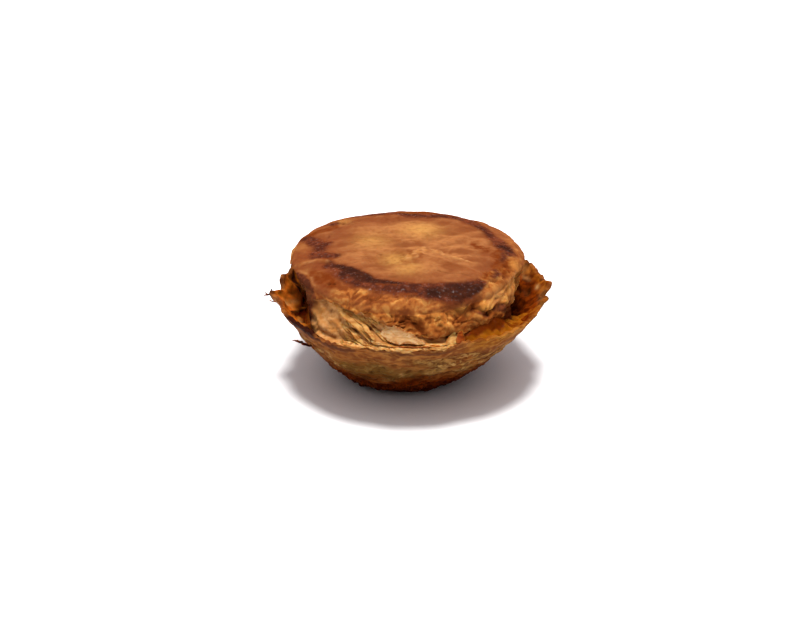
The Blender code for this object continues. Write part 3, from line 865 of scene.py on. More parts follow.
def torn_side(points, bearing, warp):
    """Where the crust is torn off: thin slanting layers with pockets between them."""
    climb = LAYER_CLIMB * LID_RADIUS * np.radians(bearing)
    grain = np.stack([points[..., 0], points[..., 1], points[..., 2] + climb], -1) + warp
    layers = uneven(grain, (1.0, (0.006, 0.006, 0.0009), 71))
    hollow, _, own = cells(grain, (0.0034, 0.0034, 0.0016), 72)
    pockets = (1.0 - smooth(0.16, 0.42, hollow)) * (own > 0.6)
    pores = (1.0 - smooth(0.0, 0.30, puffs(points + warp, 0.0012, 73))) * smooth(0.0, 0.3, uneven(points, (1.0, 0.003, 74)))
    layered = 1.0 - 0.9 * between(bearing, 221.0, 236.0, 4.0)
    crumbs = uneven(points + 0.6 * warp, (1.0, (0.0013, 0.0013, 0.0009), 94))
    sunken = smooth(0.15, 0.50, -crumbs) * (1.0 - 0.5 * layered)
    relief = (0.16 * MM * layers - 0.35 * MM * pockets) * layered - 0.12 * MM * pores
    relief = relief + 0.16 * MM * crumbs * (1.0 - 0.5 * layered)
    # Painted shade in the pockets, between the layers, in the pores and among the sunken crumbs.
    hollow = (0.6 * pockets + 0.3 * smooth(0.1, 0.5, -layers)) * layered + 0.3 * pores + 0.35 * sunken
    return relief, np.clip(hollow, 0.0, 1.0)


def ring_char(points, flat, warp):
    """The burnt ring on the top: 1 where it is charred, and where it is only toasted."""
    fray = uneven(points, (0.8, 0.0026, 61)) + uneven(points, (0.5, 0.0010, 62))
    turn = np.degrees(np.arctan2(flat[..., 1], flat[..., 0])) % 360.0
    away = np.hypot(flat[..., 0], flat[..., 1])
    starts = around(turn, [(b, start) for b, start, _ in BURNT_RING])
    ends = around(turn, [(b, end) for b, _, end in BURNT_RING])
    off_ring = np.maximum(starts - away, away - ends)
    off_burn = np.minimum(off_ring, off_strokes(flat, BURNT_STROKES)) + fray
    light = painted(off_strokes(flat, LIGHT_STREAKS) + 0.4 * fray, 0.3, 0.4)
    char = painted(off_burn - 0.70 * fray - 0.3, 1.0, 1.1) * (1.0 - 0.75 * light)
    off_toast = np.minimum(off_strokes(flat, TOASTED_STROKES) + 1.2 * fray, off_burn + 0.4)
    core = painted(off_strokes(flat, BURNT_CORE) + fray, 0.6, 1.2) * char
    return char, painted(off_toast, 0.6, 1.7), core


def lid_relief(points, bearing, down):
    """How far the lid's outer surface stands out beyond its form, and its masks."""
    warp = shifted(points, WARP, (0.0, 0.1, 0.2))
    flat = (points + 0.5 * warp)[..., :2] / MM
    sidewise = unrolled(points + 0.35 * warp)
    radius = np.hypot(points[..., 0], points[..., 1])
    side = smooth(0.0, 0.05, down)
    below = below_crust(bearing, down, uneven(points, (0.10, 0.0022, 46))) * side
    fray = uneven(points, (1.0, 0.0016, 47))

    char, toast, core = ring_char(points, flat, warp)
    char, toast = char * (1.0 - side), toast * (1.0 - side)
    blister, _, _ = cells(points + warp, 0.0010, 63)
    blisters = (0.55 - blister) * 0.30 * MM * smooth(-0.2, 0.25, uneven(points, (1.0, 0.002, 75)))

    glaze, top = glazed_top(points, flat, warp)
    pits = spots(flat, TOP_PITS)
    crust, crust_shade, puff_light_and_shade = bubbly_crust(points, warp)
    torn, torn_shade = torn_side(points, bearing, warp)
    holes = side_spots(sidewise, SIDE_HOLES) * side
    lumps = side_spots(sidewise, SIDE_LUMPS)

    at_right = between(bearing, 318.0, 370.0, 14.0)
    crusty = smooth(0.0262, 0.0310, radius + 0.003 * at_right + 0.001 * fray) * (1.0 - below)
    rough = between(bearing, 236.0, 340.0, 12.0) + 0.25 * between(bearing, 340.0, 400.0, 10.0)
    rough = np.clip(0.15 + 0.85 * rough + 0.40 * smooth(0.06, 0.22, down), 0.0, 1.0)
    rough = rough * (1.0 - 0.5 * np.exp(-((down / 0.07) ** 2)))
    face_foot = around(bearing, FACE_FOOT) + 0.06 * fray
    face = between(bearing, *RIGHT_FACE, 3.0) * smooth(-0.04, 0.01, down) * (1.0 - smooth(-0.04, 0.04, down - face_foot))
    rough = rough * (1.0 - 0.45 * face)
    relief = glaze * (1.0 - side) * (1.0 - 0.6 * crusty) + blisters * char + crust * crusty * rough + torn * below
    relief = relief + (lumps - holes - pits) * MM
    for centre, at, width, depth, sink in SIDE_SINKS:
        relief = relief - sink * MM * bump(bearing, centre, width) * np.exp(-(((down - at) / depth) ** 2))
    relief = relief * (1.0 - smooth(0.93, 1.0, down))

    cream_side = between(bearing, 221.0, 286.0, 4.0)
    # Painted shade where the lid's left foot meets the case.
    left_foot = 0.5 * between(bearing, 214.0, 223.0, 6.0) * smooth(0.84, 0.98, down + 0.05 * fray)
    left_burn = around(bearing, LEFT_BURN)
    left_burn = left_burn + 0.012 * fray
    left_edge = np.exp(-(((down - left_burn + 0.020) / 0.010) ** 2)) * between(bearing, 199.0, 217.0, 3.0)
    burnt_side = np.maximum(smooth(left_burn - 0.008, left_burn + 0.006, down) * between(bearing, 160.0, 226.0, 3.0),
                            painted(off_strokes(sidewise, unrolled_lines(BURNT_SIDE)) + 0.5 * fray, 0.4, 0.5) * side)
    reddish = painted(off_strokes(sidewise, unrolled_lines(REDDISH_SIDE)) + 0.7 * fray, 0.5, 1.0) * side
    reddish = reddish * (0.6 + 0.25 * between(bearing, 290.0, 315.0, 5.0))
    browned = smooth(0.013, 0.027, radius) * (0.75 + 0.25 * between(bearing, 165.0, 235.0, 20.0))
    lip = np.exp(-(((down - around(bearing, CRUST_EDGE)) / 0.05) ** 2)) * side
    masks = {
        "scorch": np.clip(char + 0.9 * burnt_side, 0.0, 1.0),
        "toast": np.clip(np.maximum.reduce([toast, 0.70 * top["patch"], reddish]) + 0.7 * below * (1.0 - cream_side), 0.0, 1.0),
        "cream": np.clip(cream_side * below * (1.0 - 0.5 * lip) + 0.6 * top["ridge"] * (1.0 - side) * smooth(-0.6, 0.4, fray)
                         + 0.3 * face * (1.0 - crust_shade) + 0.25 * left_edge, 0.0, 1.0),
        # hollow: painted shade in cracks, pockets, creases, pits and holes, and at the lid's left foot.
        "hollow": np.clip(crust_shade * crusty * rough + torn_shade * below + 0.5 * top["dark"] * (1.0 - side)
                          + 2.0 * pits + 1.1 * holes + left_foot, 0.0, 1.0),
        "crust": crusty * np.clip(rough + 0.4 * side, 0.0, 1.0),
        # Lighter on the puffs and darker between them: painted highlight and painted shade.
        "puff_light_and_shade": puff_light_and_shade,
        "core": core * (1.0 - side),
        "glint": char,
        "fold": top["fold"],
        "browned": browned,
        "pale": np.clip(spots(flat, PALE_PATCHES) + 0.85 * lumps, 0.0, 1.0),
    }
    return relief, masks


def make_lid():
    """The puffed lid: glazed and burnt on top, bubbly round its shoulder and torn at the front."""
    columns = bearings(LID_COLUMNS)
    side = np.arange(SIDE_ROWS - 1, 0, -1) / SIDE_ROWS
    top = even_reaches(TOP_ROWS)[::-1] - 1.0
    down = np.concatenate([[1.0], side, top])[:, None]
    bearing, down = np.broadcast_arrays(columns[None, :], down)
    form = lid_point(bearing, down)
    relief, masks = lid_relief(form, bearing, down)
    shown = form + facing(form) * relief[..., None]
    foot_radius, foot_height = foot(columns)
    under = [polar(columns, 0.5 * SEAT_RADIUS, SEAT_HEIGHT + CLEARANCE)]
    for step in range(UNDER_ROWS):
        radius = SEAT_RADIUS + (foot_radius - SEAT_RADIUS) * step / UNDER_ROWS
        under.append(polar(columns, radius, inside_height(columns, radius) + CLEARANCE))
    rings = np.concatenate([np.array(under), shown])
    hidden = {name: np.concatenate([np.zeros((len(under), LID_COLUMNS)), field]) for name, field in masks.items()}
    high = shown[-1, :, 2].mean()
    return skin("lid_crust", rings, SEAT_HEIGHT + CLEARANCE, high, hidden)


def draped_point(bearing, share):
    """The lid's side as lid_point gives it, and beyond its foot the rim and the case's outside."""
    beyond = np.maximum(share - 1.0, 0.0) * SIDE_DEPTH * MM
    foot_radius, foot_height = foot(bearing)
    rim_radius, rim_height = rim(bearing)
    ledge = rim_radius - foot_radius
    across = np.minimum(beyond, ledge)
    height = foot_height + (rim_height + RIM_CREST - foot_height) * smooth(0.0, 0.6, across / ledge)
    shelf = polar(bearing, foot_radius + across, height)
    fallen = wall_point(bearing, np.clip(1.0 - (beyond - ledge) / rim_height, 0.1, 1.0))
    fallen[..., 2] += RIM_CREST * (1.0 - smooth(0.0, 0.001, beyond - ledge))
    over = np.where((beyond < ledge)[..., None], shelf, fallen)
    return np.where((share <= 1.0)[..., None], lid_point(bearing, np.minimum(share, 1.0)), over)


def outward(place, bearing, share):
    """The direction that a surface faces, from the function that gives its places."""
    turn, drop = 0.5, 0.02
    along = place(bearing + turn, share) - place(bearing - turn, share)
    down = place(bearing, share + drop) - place(bearing, share - drop)
    out = np.cross(down, along)
    return out / np.maximum(np.linalg.norm(out, axis=-1, keepdims=True), 1e-12)


def share_to_depth(share):
    """Millimetres down the side for a share of it, and towards the middle of the top above the shoulder."""
    return np.where(share > 0.0, share * SIDE_DEPTH, share * LID_RADIUS / MM)


def depth_to_share(depth):
    """The share of the side for millimetres down it: the reverse of share_to_depth."""
    return np.where(depth > 0.0, depth / SIDE_DEPTH, depth / (LID_RADIUS / MM))


def strip_plan(strip, seed, along, across, stiff):
    """Where a torn strip lies: bearings and shares of a grid on it, how far it stands off, and its edges."""
    line, lifts, lean, curl = strip
    marks = np.array(line)
    marks = np.stack([marks[:, 0] * SIDE_SCALE, share_to_depth(marks[:, 1]), marks[:, 2]], axis=-1)
    walked = np.concatenate([[0.0], np.cumsum(np.hypot(*np.diff(marks[:, :2], axis=0).T))])
    share = np.linspace(0.0, 1.0, along)
    middle = np.stack([np.interp(share * walked[-1], walked, marks[:, k]) for k in range(3)], axis=-1)
    for _ in range(along // 6):
        middle[1:-1] = 0.25 * middle[:-2] + 0.5 * middle[1:-1] + 0.25 * middle[2:]
    heading = np.gradient(middle[:, :2], axis=0)
    heading /= np.linalg.norm(heading, axis=1, keepdims=True)
    aside = np.stack([-heading[:, 1], heading[:, 0]], axis=-1)
    v = np.linspace(-1.0, 1.0, across)[None, :]
    path = np.stack([share * walked[-1], 0.0 * share, 0.0 * share], axis=-1)
    upper_rag, lower_rag, wave = (uneven(path + shift, (1.0, size, seed)) for shift, size in ((0, 0.9), (5, 0.8), (9, 1.7)))
    rag = (0.07 if stiff else 0.35) * np.minimum(1.0, RAG_LIMIT / np.maximum(middle[:, 2], 0.05))[:, None]
    ragged = 1.0 + rag * np.where(v < 0.0, upper_rag[:, None], lower_rag[:, None])
    taper = 0.05 if stiff else 0.12
    ends = smooth(0.0, taper, share) * smooth(0.0, taper, 1.0 - share)
    flat = middle[:, None, :2] + aside[:, None, :] * (v * middle[:, 2:] * ragged * (0.15 + 0.85 * ends[:, None]))[..., None]
    flat = flat + aside[:, None, :] * ((0.1 if stiff else 0.25) * middle[:, 2:] * wave[:, None])[..., None]
    off = np.interp(share, (0.0, 0.5, 1.0), lifts) + 0.12 * wave * ends
    ripple = 0.10 * uneven(np.stack(np.broadcast_arrays(path[:, :1], 3.0 * v, 0.0), -1), (1.0, 1.1, seed + 1))
    rise = off[:, None] + ends[:, None] * (lean * v + curl * v**2 + ripple)
    edge = np.maximum(smooth(0.55, 1.0, np.abs(v)), 1.0 - ends[:, None])
    place = np.stack([flat[..., 0] / SIDE_SCALE, depth_to_share(flat[..., 1])], axis=-1)
    return place, rise * MM, edge


def slabs(name, uppers, lowers, masks):
    """A piece of closed slabs, each from a grid of points on its upper side and one on its lower side."""
    count, rows, columns = uppers.shape[:3]
    points = np.stack([uppers, lowers], axis=1).reshape(-1, 3)
    points[:, 0] += LEAN * points[:, 2]
    grid = np.arange(rows * columns).reshape(rows, columns)
    top = np.stack([grid[:-1, :-1], grid[1:, :-1], grid[1:, 1:], grid[:-1, 1:]], axis=-1).reshape(-1, 4)
    under = top[:, ::-1] + rows * columns
    loop = np.concatenate([grid[0, :], grid[1:, -1], grid[-1, -2::-1], grid[-2:0:-1, 0]])
    after = np.roll(loop, -1)
    side = np.stack([loop, after, after + rows * columns, loop + rows * columns], axis=-1)
    faces = np.concatenate([top, under, side])
    faces = np.concatenate([faces + 2 * rows * columns * k for k in range(count)])
    mesh = bpy.data.meshes.new(name)
    mesh.from_pydata(points.tolist(), [], faces.tolist())
    shell = bmesh.new()
    shell.from_mesh(mesh)
    bmesh.ops.recalc_face_normals(shell, faces=shell.faces)
    shell.to_mesh(mesh)
    shell.free()
    mesh.shade_smooth()
    for mask, field in masks.items():
        both = np.stack([field, field], axis=1).reshape(-1)
        mesh.attributes.new(mask, "FLOAT", "POINT").data.foreach_set("value", both.astype(np.float32))
    piece = bpy.data.objects.new(name, mesh)
    bpy.context.scene.collection.objects.link(piece)
    return piece


def pressed(form):
    """A grid of points on a side, with its radii evened out to one gentle curve, as a stiff flake has."""
    turn, height = np.arctan2(form[..., 1], form[..., 0]), form[..., 2]
    radius = np.hypot(form[..., 0], form[..., 1])
    u = (turn - turn.mean()) / turn.std()
    v = (height - height.mean()) / height.std()
    terms = np.stack([np.ones_like(u), u, v, u * v, u * u, v * v], axis=-1).reshape(-1, 6)
    fit = np.linalg.lstsq(terms, radius.reshape(-1), rcond=None)[0]
    even = (terms @ fit).reshape(radius.shape)
    return form * np.stack([even / radius, even / radius, np.ones_like(even)], axis=-1)


def make_strips(name, strips, thickness, seed, along=40, across=11, stiff=False):
    """Torn strips of pastry that lie on the lid's side, all in one piece."""
    plans = [strip_plan(strip, seed + 3 * k, along, across, stiff) for k, strip in enumerate(strips)]
    places, rises, edges = (np.stack(parts) for parts in zip(*plans))
    bearing, share = places[..., 0], places[..., 1]
    form = draped_point(bearing, share)
    out = outward(draped_point, bearing, share)
    if stiff:
        form = np.stack([pressed(strip) for strip in form])
        out = out * 0.0 + out.mean(axis=(1, 2), keepdims=True)
    upper = form + out * rises[..., None]
    lower = upper - out * (thickness * MM * (1.0 - 0.7 * edges))[..., None]
    return slabs(name, upper, lower, {"edge": edges})


def loose_strands(count, seed):
    """Thin strands among the torn layers, all running down to the right as the layers do."""
    rng = np.random.default_rng(seed)
    strips = []
    while len(strips) < count:
        bearing, share = rng.uniform(226.0, 268.0), rng.uniform(0.08, 0.98)
        length, half = rng.uniform(1.6, 5.5), rng.uniform(0.12, 0.34)
        slope = math.radians(rng.uniform(22.0, 48.0))
        smooth_patch = bearing < 238.0
        if share < around(np.array(bearing), CRUST_EDGE) + 0.04 or (smooth_patch and rng.random() < 0.9):
            continue
        turn, drop = 0.5 * length * math.cos(slope) / SIDE_SCALE, 0.5 * length * math.sin(slope) / SIDE_DEPTH
        bow = rng.uniform(-0.03, 0.03)
        line = ((bearing - turn, share - drop, 0.4 * half), (bearing, share + bow, half), (bearing + turn, share + drop, 0.4 * half))
        lifts = (rng.uniform(-0.1, 0.1), rng.uniform(0.10, 0.30), rng.uniform(-0.1, 0.1))
        strips.append((line, lifts, rng.uniform(-0.15, 0.15), rng.uniform(0.0, 0.12)))
    return strips


def rim_shreds(count, seed):
    """Short shreds that lie along the rim at the front, where the torn layers end."""
    rng = np.random.default_rng(seed)
    strips = []
    for _ in range(count):
        bearing, share = rng.uniform(240.0, 287.0), rng.uniform(0.86, 1.20)
        length, half = rng.uniform(1.4, 5.0), rng.uniform(0.18, 0.60)
        slope = math.radians(rng.uniform(-6.0, 16.0))
        turn, drop = 0.5 * length * math.cos(slope) / SIDE_SCALE, 0.5 * length * math.sin(slope) / SIDE_DEPTH
        line = ((bearing - turn, share - drop, 0.3 * half), (bearing, share, half), (bearing + turn, share + drop, 0.3 * half))
        lifts = (rng.uniform(-0.1, 0.1), rng.uniform(0.05, 0.28), rng.uniform(-0.1, 0.1))
        strips.append((line, lifts, rng.uniform(-0.1, 0.15), rng.uniform(0.0, 0.12)))
    return strips


def make_shreds(name, lines):
    """Thin burnt shreds of pastry, from lines of points round the pie."""
    uppers, lowers = [], []
    v = np.linspace(-1.0, 1.0, 5)[None, :, None]
    for number, line in enumerate(lines):
        marks = np.array(line)
        step = np.linspace(0.0, 1.0, SHRED_ROWS)
        bearing, radius, height, half = (np.interp(step * (len(line) - 1), np.arange(len(line)), m) for m in marks.T)
        path = polar(bearing, radius * MM, height * MM)
        path = path + shifted(path, (0.00025, 0.0007, 7), (0.1 * number, 0.3, 0.5))
        heading = np.gradient(path, axis=0)
        aside = np.cross(heading, (0.0, 0.0, 1.0)) + 0.4 * np.array((0.0, 0.0, 1.0)) * np.linalg.norm(heading, axis=1)[:, None]
        aside /= np.linalg.norm(aside, axis=1, keepdims=True)
        upper = path[:, None, :] + aside[:, None, :] * v * (half * MM)[:, None, None]
        uppers.append(upper)
        lowers.append(upper - np.array((0.0, 0.0, 1.0)) * (0.6 * half * MM)[:, None, None] * (1.0 - 0.8 * v**2))
    return slabs(name, np.array(uppers), np.array(lowers), {"edge": np.zeros((len(lines), SHRED_ROWS, 5))})


def make_crumbs(name, places, seed):
    """Crumbs half sunk in the surface, each of a bearing, a share of the way down the side and a size in mm."""
    rng = np.random.default_rng(seed)
    ball = bmesh.new()
    bmesh.ops.create_icosphere(ball, subdivisions=3, radius=1.0)
    shape = np.array([vertex.co for vertex in ball.verts])
    faces = np.array([[vertex.index for vertex in face.verts] for face in ball.faces])
    ball.free()
    bearing, share, size = np.array(places).T
    form = draped_point(bearing, share) + outward(draped_point, bearing, share) * (0.3 * size * MM)[:, None]
    stretch = rng.uniform(0.6, 1.2, size=(len(places), 1, 3))
    offset = rng.uniform(0.0, 40.0, size=(len(places), 1, 3))
    rough = 1.0 + 0.8 * uneven(shape[None] + offset, (1.0, 0.8, seed))
    points = form[:, None, :] + shape[None] * stretch * (size * MM)[:, None, None] * rough[..., None]
    points[..., 0] += LEAN * points[..., 2]
    mesh = bpy.data.meshes.new(name)
    every = np.concatenate([faces + len(shape) * k for k in range(len(places))])
    mesh.from_pydata(points.reshape(-1, 3).tolist(), [], every.tolist())
    mesh.shade_smooth()
    mesh.attributes.new("edge", "FLOAT", "POINT")
    piece = bpy.data.objects.new(name, mesh)
    bpy.context.scene.collection.objects.link(piece)
    return piece


def make_glaze():
    """The caramel that has run down between the lid and the case at the right front and set there."""
    bearing = np.linspace(GLAZE_FROM, GLAZE_TO, GLAZE_COLUMNS)[:, None]
    across = np.linspace(0.0, 1.0, GLAZE_ROWS)[None, :]
    bearing, across = np.broadcast_arrays(bearing, across)
    climb = around(bearing, GLAZE_CLIMB)
    rim_radius, rim_height = rim(bearing)
    inner = side_point(bearing, climb)
    inner_out = outward(draped_point, bearing, climb)
    inner = inner - inner_out * 0.3 * MM
    drop = around(bearing, GLAZE_DROP) * MM
    outer_radius = rim_radius - RIM_THICKNESS - 0.1 * drop - 0.05 * MM
    outer = polar(bearing, outer_radius, rim_height - drop)
    upper = inner + (outer - inner) * across[..., None]
    ends = smooth(0.0, 0.08, (bearing - GLAZE_FROM) / (GLAZE_TO - GLAZE_FROM))
    ends = ends * (1.0 - smooth(0.92, 1.0, (bearing - GLAZE_FROM) / (GLAZE_TO - GLAZE_FROM)))
    sag = (GLAZE_SAG * 4.0 * across * (1.0 - across)) * (0.4 + 0.6 * smooth(300.0, 340.0, bearing))
    runs = uneven(polar(bearing, 0.033, across * 0.004), (0.5, (0.0016, 0.0016, 0.006), 91)) + uneven(upper, (0.7, 0.0020, 92))
    upper[..., 2] += (runs * 4.0 * across * (1.0 - across) - sag - 1.2 * (1.0 - ends)) * MM
    radius = np.hypot(upper[..., 0], upper[..., 1])
    floor = inside_height(bearing, np.minimum(radius, rim_radius - RIM_THICKNESS))
    lower = upper.copy()
    lower[..., 2] = np.minimum(floor, upper[..., 2]) - 0.3 * MM
    deep = between(bearing, 298.0, 320.0, 8.0) * (1.0 - smooth(0.25, 0.8, across))
    shade = 0.32 + 0.5 * uneven(upper, (1.0, (0.004, 0.004, 0.003), 93)) + 0.6 * deep
    shade = np.clip(shade, 0.0, 1.0)
    return slabs("caramel_glaze", upper[None], lower[None], {"shade": shade[None]})


def case_relief(points, bearing, height_share, inside):
    """How far the case's surface stands out beyond its form, and its masks."""
    warp = np.stack([uneven(points + shift, WARP) for shift in (0.3, 0.4, 0.5)], axis=-1)
    low = 1.0 - smooth(0.24, 0.54, height_share + uneven(points, (0.14, (0.007, 0.007, 0.003), 81)))
    outside = 1.0 - inside
    crumb, seam, _ = cells(points + warp, 0.0016, 71)
    knob, knob_seam, _ = cells(points + warp, 0.0034, 72)
    flake, flake_seam, own = cells(points + 1.2 * warp, (0.0042, 0.0042, 0.0019), 73)
    band = smooth(0.55, 0.95, height_share + uneven(points, (0.30, (0.009, 0.009, 0.0030), 74)))
    plates = (own - 0.5) * 0.40 * MM - (1.0 - smooth(0.0, 0.12, flake_seam)) * 0.22 * MM
    streaks = uneven(points + warp, (0.10 * MM, (0.010, 0.010, 0.0008), 75))
    streaks = streaks + uneven(points + 1.5 * warp, (0.22 * MM, (0.0036, 0.0036, 0.0014), 82))
    knobbly = (0.5 - crumb) * 0.65 * MM + (0.5 - knob) * 1.0 * MM
    outer = knobbly * low + plates * (1.0 - low) * (1.0 - band) + streaks
    pit, _, _ = cells(points + warp, 0.0026, 76)
    pits = (1.0 - smooth(0.10, 0.34, pit)) * smooth(0.05, 0.35, uneven(points, (1.0, 0.006, 77)))
    outer = outer - pits * 0.5 * MM * (1.0 - band) * (1.0 - low)
    rough = uneven(points + warp, (0.35 * MM, (0.0030, 0.0030, 0.0016), 78)) + (0.5 - crumb) * 0.20 * MM
    relief = outer * outside + rough * inside
    sidewise = unrolled(points + 0.35 * warp)
    fray = uneven(points, (1.0, 0.0016, 47))
    edge = np.exp(-((1.0 - height_share) / 0.04) ** 2) * smooth(-0.1, 0.4, uneven(points, (1.0, 0.0035, 79)))
    edge = edge * (1.0 - 0.7 * between(bearing, 240.0, 330.0, 10.0))
    burnt = between(bearing, 210.0, 226.0, 3.0) * smooth(0.86, 0.95, height_share + uneven(points, (0.05, 0.002, 80)))
    off_marks = off_strokes(sidewise, unrolled_lines(BURNT_INSIDE))
    marks = painted(off_marks + 0.5 * fray, 0.4, 0.5) * inside
    arch = painted(off_strokes(sidewise, unrolled_lines(BURNT_INSIDE[1:2])), 0.3, 0.5) * inside
    rim_burn_and_shadow = painted(off_strokes(sidewise, unrolled_lines(RIM_BURN_AND_SHADOW)) + 0.4 * fray, 0.2, 0.5) * outside
    char = np.clip(0.7 * edge + burnt + marks, 0.0, 1.0)
    pits_inside = side_spots(sidewise, INSIDE_HOLES) * inside
    wall_pits = side_spots(sidewise, WALL_PITS) * outside
    wall_flakes = side_spots(sidewise, WALL_FLAKES) * outside
    relief = relief + (0.8 * arch + 0.45 * wall_flakes - pits_inside - 1.2 * wall_pits) * MM
    # Painted shade on the middle of the case's front.
    dim = between(bearing, 238.0, 276.0, 10.0) * smooth(0.30, 0.45, height_share) * (1.0 - smooth(0.68, 0.84, height_share))
    masks = {
        "inside": inside,
        # line: a burnt mark, and painted shadow under the rim's flakes.
        "line": rim_burn_and_shadow,
        "band": band * outside,
        # low: darker towards the bottom, as a browner baked base and as painted shade under the bowl.
        "low": low * outside,
        "flaky": np.clip(smooth(0.35, 0.75, own) * (1.0 - low) * (1.0 - 0.7 * band) * (1.0 - 0.7 * dim) * outside
                         + 1.2 * wall_flakes, 0.0, 1.0),
        "dim": dim * outside,
        "glazed": between(bearing, 300.0, 350.0, 10.0) * smooth(0.78, 0.90, height_share + 0.03 * fray) * outside,
        "red": between(bearing, 350.0, 382.0, 6.0) * (1.0 - smooth(0.0228, 0.0242, points[..., 2] + 0.0006 * fray)) * inside,
        "olive": between(bearing, 262.0, 336.0, 16.0) * (1.0 - low) * outside,
        # hollow: painted shade in the pits, outside and in.
        "hollow": np.clip(pits * (1.0 - low) * (1.0 - band) * outside + 1.2 * pits_inside + 1.6 * wall_pits, 0.0, 1.0),
        "char": char,
        # pale: spots of painted light on the inside.
        "pale": side_spots(sidewise, INSIDE_PAINTED_LIGHT) * inside,
        # amber: the left pocket's orange pastry, lightened as painted light where it lies in shade.
        "amber": between(bearing, 172.0, 208.0, 6.0) * inside,
        # deep: the arch under the lid, a bright orange as painted light in its shaded gap.
        "deep": between(bearing, 182.0, 206.0, 4.0) * (1.0 - smooth(0.0195, 0.0210, points[..., 2])) * inside,
    }
    return relief, masks


def make_case():
    """The bowl of pastry, with its ragged rim and the filled inside that shows beside the lid."""
    columns = bearings(CASE_COLUMNS)
    rim_radius, rim_height = rim(columns)
    teeth = uneven(polar(columns, RIM_RADIUS, RIM_HEIGHT), RIM_TEETH)
    share = np.arange(1, WALL_ROWS + 1) / WALL_ROWS
    bearing, height_share = np.broadcast_arrays(columns[None, :], share[:, None])
    wall = wall_point(bearing, height_share)
    inner = rim_radius - RIM_THICKNESS
    crest = []
    for step in range(1, RIM_ROWS):
        turn = math.pi * step / RIM_ROWS
        crest.append(polar(columns, rim_radius - 0.5 * RIM_THICKNESS * (1.0 - math.cos(turn)),
                           rim_height + RIM_CREST * math.sin(turn)))
    lining = []
    for step in range(INSIDE_ROWS + 1):
        radius = inner + (SEAT_RADIUS - inner) * step / INSIDE_ROWS
        lining.append(polar(columns, radius, inside_height(columns, radius)))
    form = np.concatenate([wall, np.array(crest), np.array(lining)])
    rows = len(form)
    bearing = np.broadcast_to(columns[None, :], (rows, CASE_COLUMNS))
    height_share = form[..., 2] / rim_height
    row = np.arange(rows)[:, None]
    inside = smooth(WALL_ROWS, WALL_ROWS + RIM_ROWS, row) * np.ones_like(bearing)
    relief, masks = case_relief(form, bearing, height_share, inside)
    relief = relief * smooth(0.0, 6.0, row) * (1.0 - smooth(rows - 6.0, rows - 1.0, row))
    shown = form + facing(form) * relief[..., None]
    near_rim = np.exp(-(((row - WALL_ROWS - 0.5 * RIM_ROWS) / 12.0) ** 2))
    shown[..., 2] += near_rim * teeth
    shown[..., 2] = np.maximum(shown[..., 2], 0.0)
    floor = [polar(columns, 0.5 * BASE_RADIUS, 0.0), polar(columns, BASE_RADIUS, 0.0)]
    seat = [polar(columns, 0.5 * SEAT_RADIUS, SEAT_HEIGHT)]
    rings = np.concatenate([np.array(floor), shown, np.array(seat)])
    whole = {name: np.concatenate([np.repeat(field[:1], 2, 0), field, field[-1:]]) for name, field in masks.items()}
    return skin("case_crust", rings, 0.0, SEAT_HEIGHT, whole)


# How much the surfaces shine, as the Specular IOR Level: dry pastry hardly does.
LID_SHEEN = 0.0
CASE_SHEEN = 0.01
TORN_SHEEN = 0.05
GLAZE_SHEEN = 0.015

# How much light sinks into the pastry, and how far its red, green and blue travel there, in metres.
CRUST_DEPTH = 0.25
TORN_DEPTH = 0.5
GLAZE_DEPTH = 0.4
LIGHT_REACH = (1.0, 0.45, 0.20)
LIGHT_SCALE = 0.0011


class Socket:
    """A node's output. Arithmetic on it adds Math nodes to its material."""

    def __init__(self, finish, output):
        self.finish = finish
        self.output = output

    def maths(self, operation, first, second):
        return self.finish.add("ShaderNodeMath", {"operation": operation}, {0: first, 1: second})

    def __add__(self, other):
        return self.maths("ADD", self, other)

    __radd__ = __add__

    def __sub__(self, other):
        return self.maths("SUBTRACT", self, other)

    def __rsub__(self, other):
        return self.maths("SUBTRACT", other, self)

    def __mul__(self, other):
        return self.maths("MULTIPLY", self, other)

    __rmul__ = __mul__


